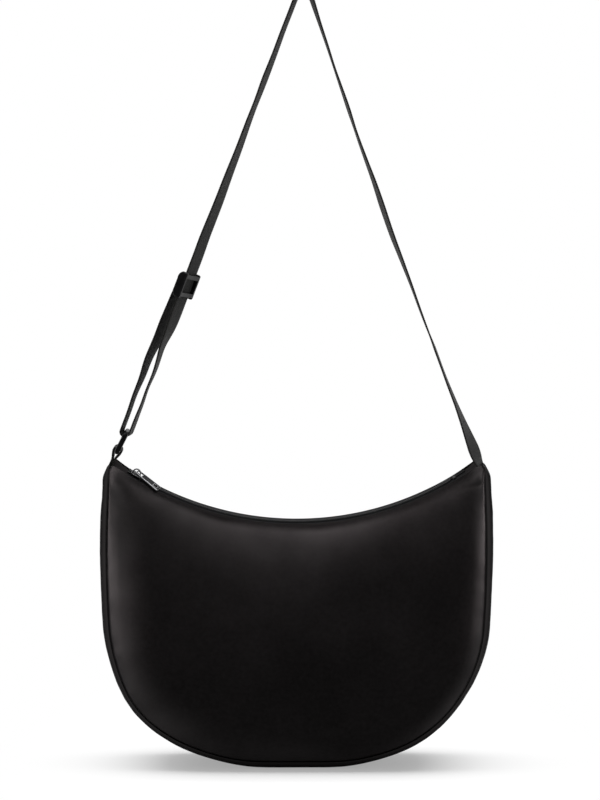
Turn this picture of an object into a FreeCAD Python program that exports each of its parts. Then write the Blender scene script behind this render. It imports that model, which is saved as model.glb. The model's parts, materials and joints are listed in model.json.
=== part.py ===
import FreeCAD, Part
import Sketcher
import math
import os
from FreeCAD import Placement, Rotation, Vector

# Half moon shoulder bag, zip closed, strap drawn up over a support at its top.
# Lengths are millimetres and angles degrees. The shapes are drawn with x to the right,
# y to the back and z up, the middle of the base at zero; every node is then moved so that
# the underside of the strap at its top is the origin.

SIZES = [
    ("body_width", 394.8, "bag across both sides of the gusset"),
    ("gusset_crown", 7.0, "bulge of the gusset past the seams"),
    ("seam_lift", 8.0, "height of the lower seams above the base"),
    ("base_length", 84.0, "straight part of the base"),
    ("widest_height", 223.5, "height of the widest place"),
    ("side_radius", 1235.0, "sides, along the seam"),
    ("peak_radius", 5.0, "top corners, along the seam"),
    ("zip_low", 247.0, "height of the zip at its lowest"),
    ("zip_radius", 305.0, "curve of the zip"),
    ("zip_tilt", 14.0, "mouth turned to the front"),
    ("gusset_width", 84.0, "front seam to back seam at the base"),
    ("full_depth", 104.0, "front to back where the bag is fullest"),
    ("full_height", 100.0, "height of the fullest place"),
    ("mouth_width", 14.0, "between the panel edges at the zip"),
    ("mouth_end_width", 48.0, "between the panel edges at the zip's ends"),
    ("shoulder_length", 55.0, "how soon the panels open out below the zip"),
    ("cloth", 1.0, "outer cloth thickness"),
    ("lining", 0.6, "lining thickness"),
    ("layer_gap", 0.4, "between cloth and lining"),
    ("seam_gap", 0.3, "between two sewn edges"),
    ("tape_gap", 2.8, "between the two zip tapes"),
    ("tape_width", 3.6, "visible width of a tape"),
    ("tape_drop", 1.0, "tape below the panel edges"),
    ("tape_thickness", 0.7, "zip tape"),
    ("tape_inset", 22.0, "end of the tapes inside the side seam"),
    ("tooth_pitch", 2.0, "along one row"),
    ("tooth_thickness", 0.8, "along the row"),
    ("tooth_height", 1.8, "above the tape"),
    ("tooth_reach", 3.2, "foot of a tooth from the middle"),
    ("tooth_nose", 0.9, "tip of a tooth past the middle"),
    ("row_inset", 34.5, "last tooth inside the side seam"),
    ("stop_length", 2.6, "zip stops"),
    ("end_tab_length", 12.4, "cloth tabs over the ends of the zip"),
    ("slider_inset", 28.5, "slider inside the left side seam"),
    ("slider_length", 10.0, "slider body"),
    ("slider_nose", 10.0, "slider across its open end"),
    ("slider_tail", 8.4, "slider across its closed end"),
    ("slider_plate", 1.2, "top and bottom plates"),
    ("slider_wall", 0.8, "side flanges"),
    ("slider_room", 0.3, "slider clear of teeth and tape"),
    ("divider_width", 2.2, "post between the plates"),
    ("divider_length", 3.6, "post between the plates"),
    ("crown_length", 8.4, "arch over the top plate"),
    ("crown_height", 5.4, "arch over the top plate"),
    ("crown_wire", 1.1, "arch thickness"),
    ("crown_width", 1.8, "arch across"),
    ("pull_length", 28.0, "pull tab from its bar"),
    ("pull_width", 8.8, "free end"),
    ("pull_neck", 6.8, "slider end"),
    ("pull_thickness", 1.4, "plate"),
    ("pull_bar", 1.2, "bar under the crown"),
    ("eye_length", 5.8, "opening for the crown"),
    ("eye_width", 4.6, "opening for the crown"),
    ("slot_length", 4.4, "slot near the free end"),
    ("slot_width", 3.6, "slot near the free end"),
    ("slot_place", 20.8, "near side of the slot from the bar"),
    ("pull_edge", 0.45, "rounded edges"),
    ("pull_yaw", 12.0, "pull tab turned to the front"),
    ("pull_dip", 3.0, "pull tab leaning down from the zip"),
    ("pull_roll", 15.0, "pull tab rolled to face the front"),
    ("pull_seat", 2.3, "bar above the top plate"),
    ("pull_shift", 0.3, "bar along the crown"),
    ("strap_width", 25.0, "webbing"),
    ("strap_thickness", 1.6, "webbing"),
    ("apex_side", 7.0, "top of the strap right of the bag's middle"),
    ("apex_height", 771.0, "underside of the strap at its top"),
    ("hook_radius", 8.0, "inside the bend at the top"),
    ("strap_sag", 4.2, "right run sagging inward"),
    ("twist_left", 67.0, "webbing turned to the picture plane, left run"),
    ("twist_top", 80.0, "the same at the top"),
    ("twist_low", 118.0, "the same above the right seam"),
    ("seam_depth", 5.0, "webbing inside the right corner"),
    ("ring_room", 1.0, "ring opening past the webbing, each side"),
    ("ring_inside", 16.0, "ring opening along the strap"),
    ("ring_wire", 4.0, "ring wire across"),
    ("ring_corner", 3.0, "ring corners at mid wire"),
    ("ring_lean", 27.0, "ring from upright"),
    ("loop_inside", 3.8, "inside radius of the webbing round the ring"),
    ("loop_reach", 14.0, "ends of that loop above its bend"),
    ("tab_width", 22.0, "webbing tab"),
    ("tab_thickness", 1.4, "webbing tab, one ply"),
    ("tab_eye", 3.0, "inside radius of its eye"),
    ("tab_rise", 14.0, "eye above the corner"),
    ("tab_root", 4.0, "sewn inside the corner"),
    ("tab_lean", 25.0, "tab from upright"),
    ("buckle_place", 158.0, "buckle above the ring's bend"),
    ("buckle_length", 26.0, "along the strap"),
    ("buckle_rail", 3.4, "each side rail"),
    ("buckle_bar", 2.6, "outer bars across"),
    ("buckle_mid", 4.0, "middle bar along the strap"),
    ("buckle_mid_depth", 2.2, "middle bar across"),
    ("buckle_room", 0.5, "buckle clear of the webbing"),
    ("sewn_leg", 9.0, "sewn end below the middle bar"),
]

# Shares of the right run from the top, with the share of its whole twist at each.
RIGHT_RUN_SHARES = [(0.0, 0.0), (0.12, 0.08), (0.3, 0.12), (0.5, 0.16), (0.65, 0.26), (0.76, 0.42),
                    (0.86, 0.49), (0.9, 0.62), (0.93, 0.8), (0.965, 1.0), (0.985, 0.65), (1.0, 0.4)]
RIGHT_END_SHARE = 0.9
LOW_TWIST_SHARES = [0.0, 0.34, 0.67, 1.0]
BASE_FLAT_SHARE = 0.55
SIDE_FLAT_SHARE = 0.2
GUSSET_END_SHARE = 0.25
TAB_SHARE = 0.5
ZIP_TAB_SHARE = 1.15
SLIDER_END_SHARE = 0.82
SLIDER_WIDEST_SHARE = 0.5
BUCKLE_BAR_SHARE = 0.86
BUCKLE_TOP_SHARE = 0.3
BUCKLE_BACK_SHARE = 0.4
LEFT_RUN_SHARE = 0.9
GRID_COLUMNS = 15
GRID_ROWS = 9

doc = FreeCAD.newDocument("HalfMoonBag")
sheet = doc.addObject("Spreadsheet::Sheet", "Sizes")
for row, (alias, value, meaning) in enumerate(SIZES, start=1):
    sheet.set("A%d" % row, alias)
    sheet.set("B%d" % row, str(value))
    sheet.set("C%d" % row, meaning)
    sheet.setAlias("B%d" % row, alias)
doc.recompute()


def size(alias):
    """Value of one cell of the sheet."""
    return float(sheet.get(alias))


CLOTH = size("cloth")
LINING = size("lining")
INNER = CLOTH + size("layer_gap")
SEAM = size("seam_gap")
ZIP_R = size("zip_radius")
ZIP_C = (0.0, size("zip_low") + ZIP_R)
ZIP_TILT = math.radians(size("zip_tilt"))
EDGE_DROP = size("mouth_width") / 2 * math.sin(ZIP_TILT)
HOME = Placement(Vector(-size("apex_side"), 0, -size("apex_height")), Rotation())
nodes = []


# Plane geometry shared by the panels, the gusset and the strap.

def polar(centre, radius, angle):
    """Point on a circle; the angle is in radians from +x."""
    return (centre[0] + radius * math.cos(angle), centre[1] + radius * math.sin(angle))


def angle_of(centre, point):
    return math.atan2(point[1] - centre[1], point[0] - centre[0])


def meet_low(first, first_radius, second, second_radius):
    """The lower of the two points that two circles share."""
    dx, dz = second[0] - first[0], second[1] - first[1]
    apart = math.hypot(dx, dz)
    along = (first_radius ** 2 - second_radius ** 2 + apart ** 2) / (2 * apart)
    aside = math.sqrt(first_radius ** 2 - along ** 2)
    foot = (first[0] + along * dx / apart, first[1] + along * dz / apart)
    return (foot[0] + aside * dz / apart, foot[1] - aside * dx / apart)


class Outline:
    """Right half of the seam line: base, corner arc, side arc, peak arc and zip arc."""

    def __init__(self, drop=0.0):
        self.half_base = size("base_length") / 2
        self.lift = size("seam_lift")
        self.side_r, self.peak_r = size("side_radius"), size("peak_radius")
        self.zip_r = ZIP_R + drop
        reach = size("body_width") / 2 - size("gusset_crown")
        self.side_c = (reach - self.side_r, size("widest_height"))
        across = self.half_base - self.side_c[0]
        up = self.lift - self.side_c[1]
        self.corner_r = (self.side_r ** 2 - across ** 2 - up ** 2) / (2 * (self.side_r + up))
        self.corner_c = (self.half_base, self.lift + self.corner_r)
        self.tilt = -angle_of(self.side_c, self.corner_c)
        self.peak_c = meet_low(self.side_c, self.side_r - self.peak_r,
                               ZIP_C, self.zip_r + self.peak_r)
        self.side_end = angle_of(self.side_c, self.peak_c)
        self.peak_end = angle_of(ZIP_C, self.peak_c)
        self.peak_span = (self.peak_end + math.pi) - self.side_end

    def peak(self, share, inset=0.0):
        """Point and outward angle at a share of the peak arc."""
        angle = self.side_end + share * self.peak_span
        return polar(self.peak_c, self.peak_r - inset, angle), angle

    def half_width(self):
        return self.side_c[0] + self.side_r

    def face(self, inset):
        """Plane face inside the seam line, in the xz plane."""
        def arc(centre, radius, start, end):
            return [polar(centre, radius, start + (end - start) * share) for share in (0, 0.5, 1)]
        arcs = [arc(self.corner_c, self.corner_r - inset, -math.pi / 2, -self.tilt),
                arc(self.side_c, self.side_r - inset, -self.tilt, self.side_end),
                arc(self.peak_c, self.peak_r - inset, self.side_end, self.side_end + self.peak_span),
                arc(ZIP_C, self.zip_r + inset, self.peak_end, -math.pi / 2)]
        mirrored = [[(-x, z) for x, z in reversed(points)] for points in reversed(arcs)]
        edges = []
        for points in arcs + mirrored:
            edges.append(Part.Arc(*[Vector(x, 0, z) for x, z in points]).toShape())
        start, end = mirrored[-1][-1], arcs[0][0]
        edges.append(Part.makeLine(Vector(start[0], 0, start[1]), Vector(end[0], 0, end[1])))
        return Part.Face(Part.Wire(Part.__sortEdges__(edges)))


def zip_height(x, drop=0.0):
    """Height of the zip line, or of a panel edge that lies a little lower."""
    return ZIP_C[1] - math.sqrt((ZIP_R + drop) ** 2 - x ** 2)


def mouth_half(x):
    """Half of the mouth at the zip, wider towards its ends."""
    middle, end = size("mouth_width") / 2, size("mouth_end_width") / 2
    return middle + (end - middle) * (abs(x) / outline.half_width()) ** 12


def half_depth(x, z, drop=0.0):
    """Half of the bag's depth at a place on the panels."""
    side, full = size("gusset_width") / 2, size("full_depth") / 2
    over = (z - size("full_height")) / (size("full_height") - outline.lift)
    wide = side + (full - side) * (1 - (x / outline.half_width()) ** 2) * (1 - over ** 2)
    below = zip_height(x, drop) - z
    edge = mouth_half(x)
    return edge + (wide - edge) * (1 - math.exp(-below / size("shoulder_length")))


def edge_drop(front):
    """The mouth tilts, so the front edge lies below the zip line and the back edge above it."""
    return EDGE_DROP if front else -EDGE_DROP


outline = Outline()
panel_outlines = {front: Outline(edge_drop(front)) for front in (True, False)}
SLIDER_X = outline.half_width() - size("slider_inset")
TAPE_X = outline.half_width() - size("tape_inset")
ROW_X = outline.half_width() - size("row_inset")


# Node helpers.

def keep(label, obj):
    """Adds an object as a node under its final name."""
    obj.Label = label
    nodes.append(obj)
    return obj


def feature(label, shape):
    """Node from a shape drawn in the bag's frame."""
    obj = doc.addObject("Part::Feature", label)
    obj.Shape = shape
    obj.Placement = HOME.multiply(shape.Placement)
    return keep(label, obj)


def new_body(label, place):
    body = doc.addObject("PartDesign::Body", label)
    body.Placement = HOME.multiply(place)
    return keep(label, body)


def plane_of(body, role):
    return [item for item in body.Origin.OriginFeatures if item.Role == role][0]


def sketch_on(body, role, offset=0.0):
    """Sketch on an origin plane of the body, moved along the plane's normal."""
    sketch = body.newObject("Sketcher::SketchObject", body.Name + "_sketch")
    sketch.AttachmentSupport = [(plane_of(body, role), "")]
    sketch.MapMode = "FlatFace"
    sketch.AttachmentOffset = Placement(Vector(0, 0, offset), Rotation())
    return sketch


def dimension(sketch, kind, name, expression, *where):
    """Named dimension bound to the sheet."""
    index = sketch.addConstraint(Sketcher.Constraint(kind, *where))
    sketch.renameConstraint(index, name)
    sketch.setExpression("Constraints." + name, expression)


def rectangle(sketch, name, wide, tall, x_place="0", y_place="0"):
    """Rectangle whose size and middle are bound to the sheet."""
    first = sketch.GeometryCount
    corners = [Vector(-1, -1, 0), Vector(1, -1, 0), Vector(1, 1, 0), Vector(-1, 1, 0)]
    for start, end in zip(corners, corners[1:] + corners[:1]):
        sketch.addGeometry(Part.LineSegment(start, end))
    for side in range(4):
        sketch.addConstraint(Sketcher.Constraint("Coincident", first + side, 2,
                                                 first + (side + 1) % 4, 1))
    for side, kind in enumerate(("Horizontal", "Vertical", "Horizontal", "Vertical")):
        sketch.addConstraint(Sketcher.Constraint(kind, first + side))
    middle = sketch.addGeometry(Part.Point(Vector(0, 0, 0)), True)
    sketch.addConstraint(Sketcher.Constraint("Symmetric", first, 1, first + 1, 2, middle, 1))
    dimension(sketch, "DistanceX", name + "_wide", wide, first, 1, first, 2, 2.0)
    dimension(sketch, "DistanceY", name + "_tall", tall, first + 1, 1, first + 1, 2, 2.0)
    dimension(sketch, "DistanceX", name + "_x", x_place, -1, 1, middle, 1, 0.0)
    dimension(sketch, "DistanceY", name + "_y", y_place, -1, 1, middle, 1, 0.0)


def draw(sketch, geometry):
    """Closed run of lines and arcs, joined end to start."""
    first = sketch.GeometryCount
    for item in geometry:
        sketch.addGeometry(item)
    return first


def polygon(sketch, points):
    """Closed polygon through plane points."""
    first = sketch.GeometryCount
    count = len(points)
    for index in range(count):
        (x, y), (next_x, next_y) = points[index], points[(index + 1) % count]
        sketch.addGeometry(Part.LineSegment(Vector(x, y, 0), Vector(next_x, next_y, 0)))
    for index in range(count):
        sketch.addConstraint(Sketcher.Constraint("Coincident", first + index, 2,
                                                 first + (index + 1) % count, 1))


def extrude(body, kind, sketch, expression, symmetric=False, backward=False):
    """Pad or Pocket of a sketch with its length bound to the sheet."""
    item = body.newObject("PartDesign::" + kind, body.Name + "_" + kind.lower())
    item.Profile = sketch
    item.setExpression("Length", expression)
    if symmetric:
        item.SideType = "Symmetric"
    item.Reversed = backward
    doc.recompute()
    return item


def ease_edges(body, kind, base, expression, chosen):
    """Fillet or Chamfer on edges of a feature, picked by a test on each edge."""
    names = ["Edge%d" % (i + 1) for i, edge in enumerate(base.Shape.Edges) if chosen(edge)]
    item = body.newObject("PartDesign::" + kind, body.Name + "_" + kind.lower())
    item.Base = (base, names)
    item.setExpression("Radius" if kind == "Fillet" else "Size", expression)
    doc.recompute()
    return item


# Panels and linings.

def depth_face(front, depth_in):
    """Curved face at a depth inside one panel's outer face."""
    sign = -1.0 if front else 1.0
    past = 4 * CLOTH
    reach = outline.half_width() + CLOTH
    grid = []
    for column in range(GRID_COLUMNS):
        x = reach * math.sin(math.pi * (column / (GRID_COLUMNS - 1) - 0.5))
        top, low = zip_height(x, edge_drop(front)) + past, outline.lift - past
        line = []
        for row in range(GRID_ROWS):
            z = top - (top - low) * (row / (GRID_ROWS - 1)) ** 1.4
            depth = half_depth(x, z, edge_drop(front)) - depth_in
            line.append(Vector(x, sign * depth, z))
        grid.append(line)
    surface = Part.BSplineSurface()
    surface.interpolate(grid)
    return surface.toShape()


def panel(front, depth_in, thickness, inset):
    """Curved sheet of one panel, cut to the seam line."""
    sign = -1.0 if front else 1.0
    cloth_sheet = depth_face(front, depth_in).extrude(Vector(0, -sign * thickness, 0))
    prism = panel_outlines[front].face(inset).extrude(Vector(0, sign * size("full_depth"), 0))
    return prism.common(cloth_sheet).Solids[0]


def make_panels():
    feature("front_panel", panel(True, 0.0, CLOTH, SEAM))
    feature("back_panel", panel(False, 0.0, CLOTH, SEAM))
    feature("front_lining", panel(True, INNER, LINING, INNER + SEAM))
    feature("back_lining", panel(False, INNER, LINING, INNER + SEAM))


# Gusset and its lining.

def gusset_section(point, angle, across, crown, flat, inset, thickness):
    """Closed section of the gusset, crowned outward with a flat middle."""
    across_flat = across - flat
    round_r = (across_flat ** 2 + crown ** 2) / (2 * crown)
    half_turn = math.asin(across_flat / round_r) / 2
    mid = (crown - round_r + round_r * math.cos(half_turn), flat + round_r * math.sin(half_turn))

    def at(offset, y):
        return Vector(point[0] + offset * math.cos(angle), y, point[1] + offset * math.sin(angle))

    def line_of(out):
        return [at(out, -across), at(out + mid[0], -mid[1]), at(out + crown, -flat),
                at(out + crown, flat), at(out + mid[0], mid[1]), at(out, across)]

    outer, inner = line_of(-inset), line_of(-inset - thickness)
    edges = []
    for line in (outer, list(reversed(inner))):
        edges += [Part.Arc(line[0], line[1], line[2]).toShape(),
                  Part.makeLine(line[2], line[3]),
                  Part.Arc(line[3], line[4], line[5]).toShape()]
        turn = inner[-1] if line is outer else outer[0]
        edges.append(Part.makeLine(line[5], turn))
    return Part.Wire(edges)


def gusset_stations():
    """Places along the right half of the seam line with outward angle and flat share."""
    places = []
    turn = math.pi / 2 - outline.tilt
    steps = 12
    for step in range(steps + 1):
        angle = -math.pi / 2 + turn * step / steps
        flat = BASE_FLAT_SHARE + (SIDE_FLAT_SHARE - BASE_FLAT_SHARE) * step / steps
        places.append((polar(outline.corner_c, outline.corner_r, angle), angle, flat))
    sweep = outline.side_end + outline.tilt
    steps = 8
    for step in range(1, steps + 1):
        angle = -outline.tilt + sweep * step / steps
        places.append((polar(outline.side_c, outline.side_r, angle), angle, SIDE_FLAT_SHARE))
    for share in (GUSSET_END_SHARE / 2, GUSSET_END_SHARE):
        point, angle = outline.peak(share)
        places.append((point, angle, SIDE_FLAT_SHARE))
    return places


def gusset(inset, thickness, back_off):
    """Strip round the base and both sides."""
    def section(point, angle, flat, mirror=False):
        depth = half_depth(point[0], point[1])
        across = depth - back_off + SEAM
        crown_share = depth / (size("gusset_width") / 2)
        crown = size("gusset_crown") * crown_share
        if flat == BASE_FLAT_SHARE:
            across, crown = half_depth(0, outline.lift) - back_off + SEAM, size("seam_lift")
        elif flat > SIDE_FLAT_SHARE:
            low = (flat - SIDE_FLAT_SHARE) / (BASE_FLAT_SHARE - SIDE_FLAT_SHARE)
            crown += (size("seam_lift") - crown) * low
        if mirror:
            point, angle = (-point[0], point[1]), math.pi - angle
        return gusset_section(point, angle, across, crown, across * flat, inset, thickness)
    places = gusset_stations()
    right = Part.makeLoft([section(*place) for place in places], True, True)
    left = Part.makeLoft([section(*place, mirror=True) for place in places], True, True)
    start = section(*places[0], mirror=True)
    middle = Part.Face(start).extrude(Vector(size("base_length"), 0, 0))
    whole = middle.fuse([left, right]).removeSplitter()
    deep = size("full_depth")
    outside = [depth_face(front, back_off).extrude(Vector(0, -deep if front else deep, 0))
               for front in (True, False)]
    return max(whole.cut(outside).Solids, key=lambda solid: solid.Volume)


def make_gusset():
    feature("gusset", gusset(0.0, CLOTH, CLOTH + SEAM))
    feature("gusset_lining", gusset(INNER, LINING, INNER + LINING + SEAM))


# Zip: tapes, teeth, stops and end tabs.

def zip_frame(angle):
    """Placement on the zip arc; the angle is from the lowest place, to the right."""
    point = Vector(ZIP_C[0] + ZIP_R * math.sin(angle), 0, ZIP_C[1] - ZIP_R * math.cos(angle))
    turn = Rotation(Vector(0, 1, 0), -math.degrees(angle))
    return Placement(point, turn.multiply(Rotation(Vector(1, 0, 0), size("zip_tilt"))))


def zip_angle(x):
    return math.asin(x / ZIP_R)


def make_tapes():
    """Two strips turned about the zip's centre, on either side of the slider's path."""
    reach = math.degrees(zip_angle(TAPE_X))
    high = -size("tape_drop")
    low = high - size("tape_thickness")
    near, far = size("tape_gap") / 2, size("tape_gap") / 2 + size("tape_width")
    for label, side in (("zip_tape_front", -1), ("zip_tape_back", 1)):
        body = new_body(label, Placement(Vector(ZIP_C[0], 0, ZIP_C[1]),
                                         Rotation(Vector(0, 1, 0), reach)))
        sketch = sketch_on(body, "YZ_Plane")
        corners = [(side * near, low), (side * far, low), (side * far, high), (side * near, high)]
        polygon(sketch, [(across * math.cos(ZIP_TILT) - up * math.sin(ZIP_TILT),
                          across * math.sin(ZIP_TILT) + up * math.cos(ZIP_TILT) - ZIP_R)
                         for across, up in corners])
        turned = body.newObject("PartDesign::Revolution", label + "_turned")
        turned.Profile = sketch
        turned.ReferenceAxis = (plane_of(body, "Y_Axis"), [""])
        turned.Angle = 2 * reach
        turned.Reversed = True
        doc.recompute()


def make_teeth():
    """Two rows of teeth, half a pitch apart, each standing on its tape."""
    step = size("tooth_pitch") / ZIP_R
    first = -zip_angle(SLIDER_X) + size("slider_length") / 2 / ZIP_R
    first -= size("divider_length") / ZIP_R * 0.5
    count = int((zip_angle(ROW_X) - first) / step)
    half, reach = size("tooth_thickness") / 2, size("tooth_reach")
    nose = size("tooth_nose")
    for label, side, shift in (("zip_teeth_front", -1, 0.0), ("zip_teeth_back", 1, 0.5)):
        profile = [(-half, side * reach), (half, side * reach), (half, -side * half),
                   (0.0, -side * nose), (-half, -side * half)]
        points = [Vector(u, y, -size("tape_drop")) for u, y in profile]
        tooth = Part.Face(Part.makePolygon(points + points[:1]))
        tooth = tooth.extrude(Vector(0, 0, size("tooth_height")))
        row = []
        for index in range(count):
            copy = tooth.copy()
            copy.Placement = zip_frame(first + (index + shift) * step)
            row.append(copy)
        feature(label, Part.makeCompound(row))


def block(angle, length, y_low, y_high, z_low, z_high):
    """Box in the zip's frame at an angle."""
    box = Part.makeBox(length, y_high - y_low, z_high - z_low, Vector(-length / 2, y_low, z_low))
    box.Placement = zip_frame(angle).multiply(box.Placement)
    return box


def make_stops():
    drop, tall = size("tape_drop"), size("tooth_height")
    length, reach = size("stop_length"), size("tooth_reach")
    gap = size("tape_gap") / 2
    ahead = size("slider_length") / 2 + length / 2 + 2 * SEAM
    left = -zip_angle(SLIDER_X) - ahead / ZIP_R
    pair = [block(left, length, gap, reach, -drop, tall - drop),
            block(left, length, -reach, -gap, -drop, tall - drop)]
    feature("zip_top_stops", Part.makeCompound(pair))
    right = zip_angle(ROW_X) + length / ZIP_R
    feature("zip_bottom_stop", block(right, length, -reach, reach, -drop, tall - drop))


def make_end_tabs():
    """Cloth tabs that close the mouth past the ends of the tapes."""
    peak = outline.peak(ZIP_TAB_SHARE)[0]
    far = math.atan2(peak[0] - ZIP_C[0], ZIP_C[1] - peak[1])
    for label, side in (("zip_end_left", -1), ("zip_end_right", 1)):
        sections = []
        for share in (0.0, 0.25, 0.5, 0.75, 1.0):
            angle = side * (far - (1 - share) * size("end_tab_length") / ZIP_R)
            frame = zip_frame(angle)
            across = mouth_half(frame.Base.x) - INNER - LINING - SEAM
            low = -size("tape_drop") - size("tape_thickness") - size("seam_gap") - CLOTH
            points = [frame.multVec(Vector(0, y, z)) for y, z in
                      ((-across, low), (across, low), (across, low + CLOTH), (-across, low + CLOTH))]
            sections.append(Part.makePolygon(points + points[:1]))
        feature(label, Part.makeLoft(sections, True, False))


# Slider and pull tab.

def slider_place():
    return zip_frame(-zip_angle(SLIDER_X))


def slider_outline(half_nose, half_tail):
    """Six-sided slider plan, wide at the nose and narrow at the tail."""
    end = size("slider_length") / 2
    front, widest = half_nose * SLIDER_END_SHARE, -end * SLIDER_WIDEST_SHARE
    return [(-end, -front), (widest, -half_nose), (end, -half_tail),
            (end, half_tail), (widest, half_nose), (-end, front)]


def make_slider():
    """Slider body: two plates joined by the divider, with flanges over the tapes."""
    body = new_body("slider_body", slider_place())
    room, plate, wall = size("slider_room"), size("slider_plate"), size("slider_wall")
    tape_low = -size("tape_drop") - size("tape_thickness")
    floor = tape_low - room
    roof = size("tooth_height") - size("tape_drop") + room
    nose, tail = size("slider_nose") / 2, size("slider_tail") / 2
    bottom = sketch_on(body, "XY_Plane", floor)
    polygon(bottom, slider_outline(nose, tail))
    extrude(body, "Pad", bottom, "Sizes.slider_plate", backward=True)
    post = sketch_on(body, "XY_Plane", floor)
    middle = "(Sizes.divider_length - Sizes.slider_length) / 2"
    rectangle(post, "post", "Sizes.divider_length", "Sizes.divider_width", middle)
    extrude(body, "Pad", post,
            "Sizes.tape_thickness + Sizes.tooth_height + 2 * Sizes.slider_room")
    top = sketch_on(body, "XY_Plane", roof)
    polygon(top, slider_outline(nose, tail))
    extrude(body, "Pad", top, "Sizes.slider_plate")
    flange = sketch_on(body, "XY_Plane", roof)
    end = size("slider_length") / 2
    for side in (-1, 1):
        widest = -end * SLIDER_WIDEST_SHARE
        polygon(flange, [(widest, side * nose), (end, side * tail),
                         (end, side * (tail - wall)), (widest, side * (nose - wall))])
    extrude(body, "Pad", flange, "Sizes.tooth_height", backward=True)


def make_crown():
    """Arch that holds the pull tab's bar over the top plate."""
    body = new_body("slider_crown", slider_place())
    base = size("tooth_height") - size("tape_drop") + size("slider_room") + size("slider_plate")
    sketch = sketch_on(body, "XZ_Plane")
    half, tall, wire = size("crown_length") / 2, size("crown_height"), size("crown_wire")

    def arch(reach, rise):
        return Part.Arc(Vector(-reach, base, 0), Vector(0, base + rise, 0), Vector(reach, base, 0))
    draw(sketch, [arch(half, tall), arch(half - wire, tall - wire),
                  Part.LineSegment(Vector(-half, base, 0), Vector(wire - half, base, 0)),
                  Part.LineSegment(Vector(half - wire, base, 0), Vector(half, base, 0))])
    extrude(body, "Pad", sketch, "Sizes.crown_width", symmetric=True)


def pull_place():
    """Pull tab's frame: x along the tab from its bar, z out of its face."""
    base = size("tooth_height") - size("tape_drop") + size("slider_room") + size("slider_plate")
    seat = Placement(Vector(size("pull_shift"), 0, base + size("pull_seat")), Rotation())
    yaw = Rotation(Vector(0, 0, 1), -size("pull_yaw"))
    dip = Rotation(Vector(0, 1, 0), size("pull_dip"))
    roll = Rotation(Vector(1, 0, 0), size("pull_roll"))
    turn = Placement(Vector(), yaw.multiply(dip).multiply(roll))
    return slider_place().multiply(seat).multiply(turn)


def make_pull():
    """Tapered plate with an eye for the crown and a slot near its free end."""
    body = new_body("pull_tab", pull_place())
    bar, length = size("pull_bar") / 2, size("pull_length")
    neck, wide = size("pull_neck") / 2, size("pull_width") / 2
    plate = sketch_on(body, "XY_Plane")
    polygon(plate, [(-bar, -neck), (length, -wide), (length, wide), (-bar, neck)])
    extrude(body, "Pad", plate, "Sizes.pull_thickness", symmetric=True)
    holes = sketch_on(body, "XY_Plane")
    rectangle(holes, "eye", "Sizes.eye_length", "Sizes.eye_width",
              "Sizes.pull_bar / 2 + Sizes.eye_length / 2")
    rectangle(holes, "slot", "Sizes.slot_length", "Sizes.slot_width",
              "Sizes.slot_place + Sizes.slot_length / 2")
    cut = extrude(body, "Pocket", holes, "Sizes.pull_thickness", symmetric=True)
    thick = size("pull_thickness")
    corners = ease_edges(body, "Fillet", cut, "Sizes.pull_edge * 3", lambda edge: abs(
        edge.Length - thick) < CLOTH / 100 and edge.CenterOfMass.x > length - CLOTH)
    ease_edges(body, "Fillet", corners, "Sizes.pull_edge", lambda edge: abs(
        abs(edge.CenterOfMass.z) - thick / 2) < CLOTH / 100 and edge.CenterOfMass.x > length / 3
        and abs(edge.CenterOfMass.y) > size("slot_width") / 2 + CLOTH / 2)


# Strap, ring, tab and buckle.

class StrapLine:
    """Centre line of the webbing in the picture plane."""

    def __init__(self):
        self.half = size("strap_thickness") / 2
        self.top_r = size("hook_radius") + self.half
        self.top_c = (size("apex_side"), size("apex_height") - size("hook_radius"))
        corner, out = outline.peak(TAB_SHARE)
        lean = math.radians(size("tab_lean"))
        self.tab_foot = (-corner[0], corner[1])
        self.tab_eye = (self.tab_foot[0] + size("tab_rise") * math.sin(lean),
                        self.tab_foot[1] + size("tab_rise") * math.cos(lean))
        lean = math.radians(size("ring_lean"))
        pitch = size("ring_inside") + size("ring_wire")
        self.ring_top = (self.tab_eye[0] + pitch * math.sin(lean),
                         self.tab_eye[1] + pitch * math.cos(lean))
        self.loop_r = size("loop_inside") + self.half
        lift = size("loop_inside") - size("ring_wire") / 2 - SEAM
        self.loop_c = (self.ring_top[0], self.ring_top[1] + lift)
        dx, dz = self.top_c[0] - self.loop_c[0], self.top_c[1] - self.loop_c[1]
        self.left_turn = math.acos((self.top_r + self.loop_r) / math.hypot(dx, dz)) \
            - math.atan2(dz, dx)
        self.seam = (corner[0], corner[1] - size("seam_depth"))
        dx, dz = self.seam[0] - self.top_c[0], self.seam[1] - self.top_c[1]
        self.right_turn = math.atan2(dz, dx) + math.acos(self.top_r / math.hypot(dx, dz))
        self.along = (math.sin(self.left_turn), math.cos(self.left_turn))
        self.inward = (math.cos(self.left_turn), -math.sin(self.left_turn))
        self.left_low = (self.loop_c[0] + self.loop_r * self.inward[0],
                         self.loop_c[1] + self.loop_r * self.inward[1])

    def left(self, rise):
        """Place on the straight left run, a distance above the ring's bend."""
        return (self.left_low[0] + rise * self.along[0], self.left_low[1] + rise * self.along[1])

    def left_length(self):
        end = (self.top_c[0] - self.top_r * self.inward[0],
               self.top_c[1] - self.top_r * self.inward[1])
        return math.hypot(end[0] - self.left_low[0], end[1] - self.left_low[1])

    def right(self, share):
        """Place on the right run, sagging a little, at a share of its length."""
        outward = (math.cos(self.right_turn), math.sin(self.right_turn))
        start = (self.top_c[0] + self.top_r * outward[0], self.top_c[1] + self.top_r * outward[1])
        sag = size("strap_sag") * 4 * share * (1 - share)
        return (start[0] + share * (self.seam[0] - start[0]) - sag * outward[0],
                start[1] + share * (self.seam[1] - start[1]) - sag * outward[1])


strap = StrapLine()


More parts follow.
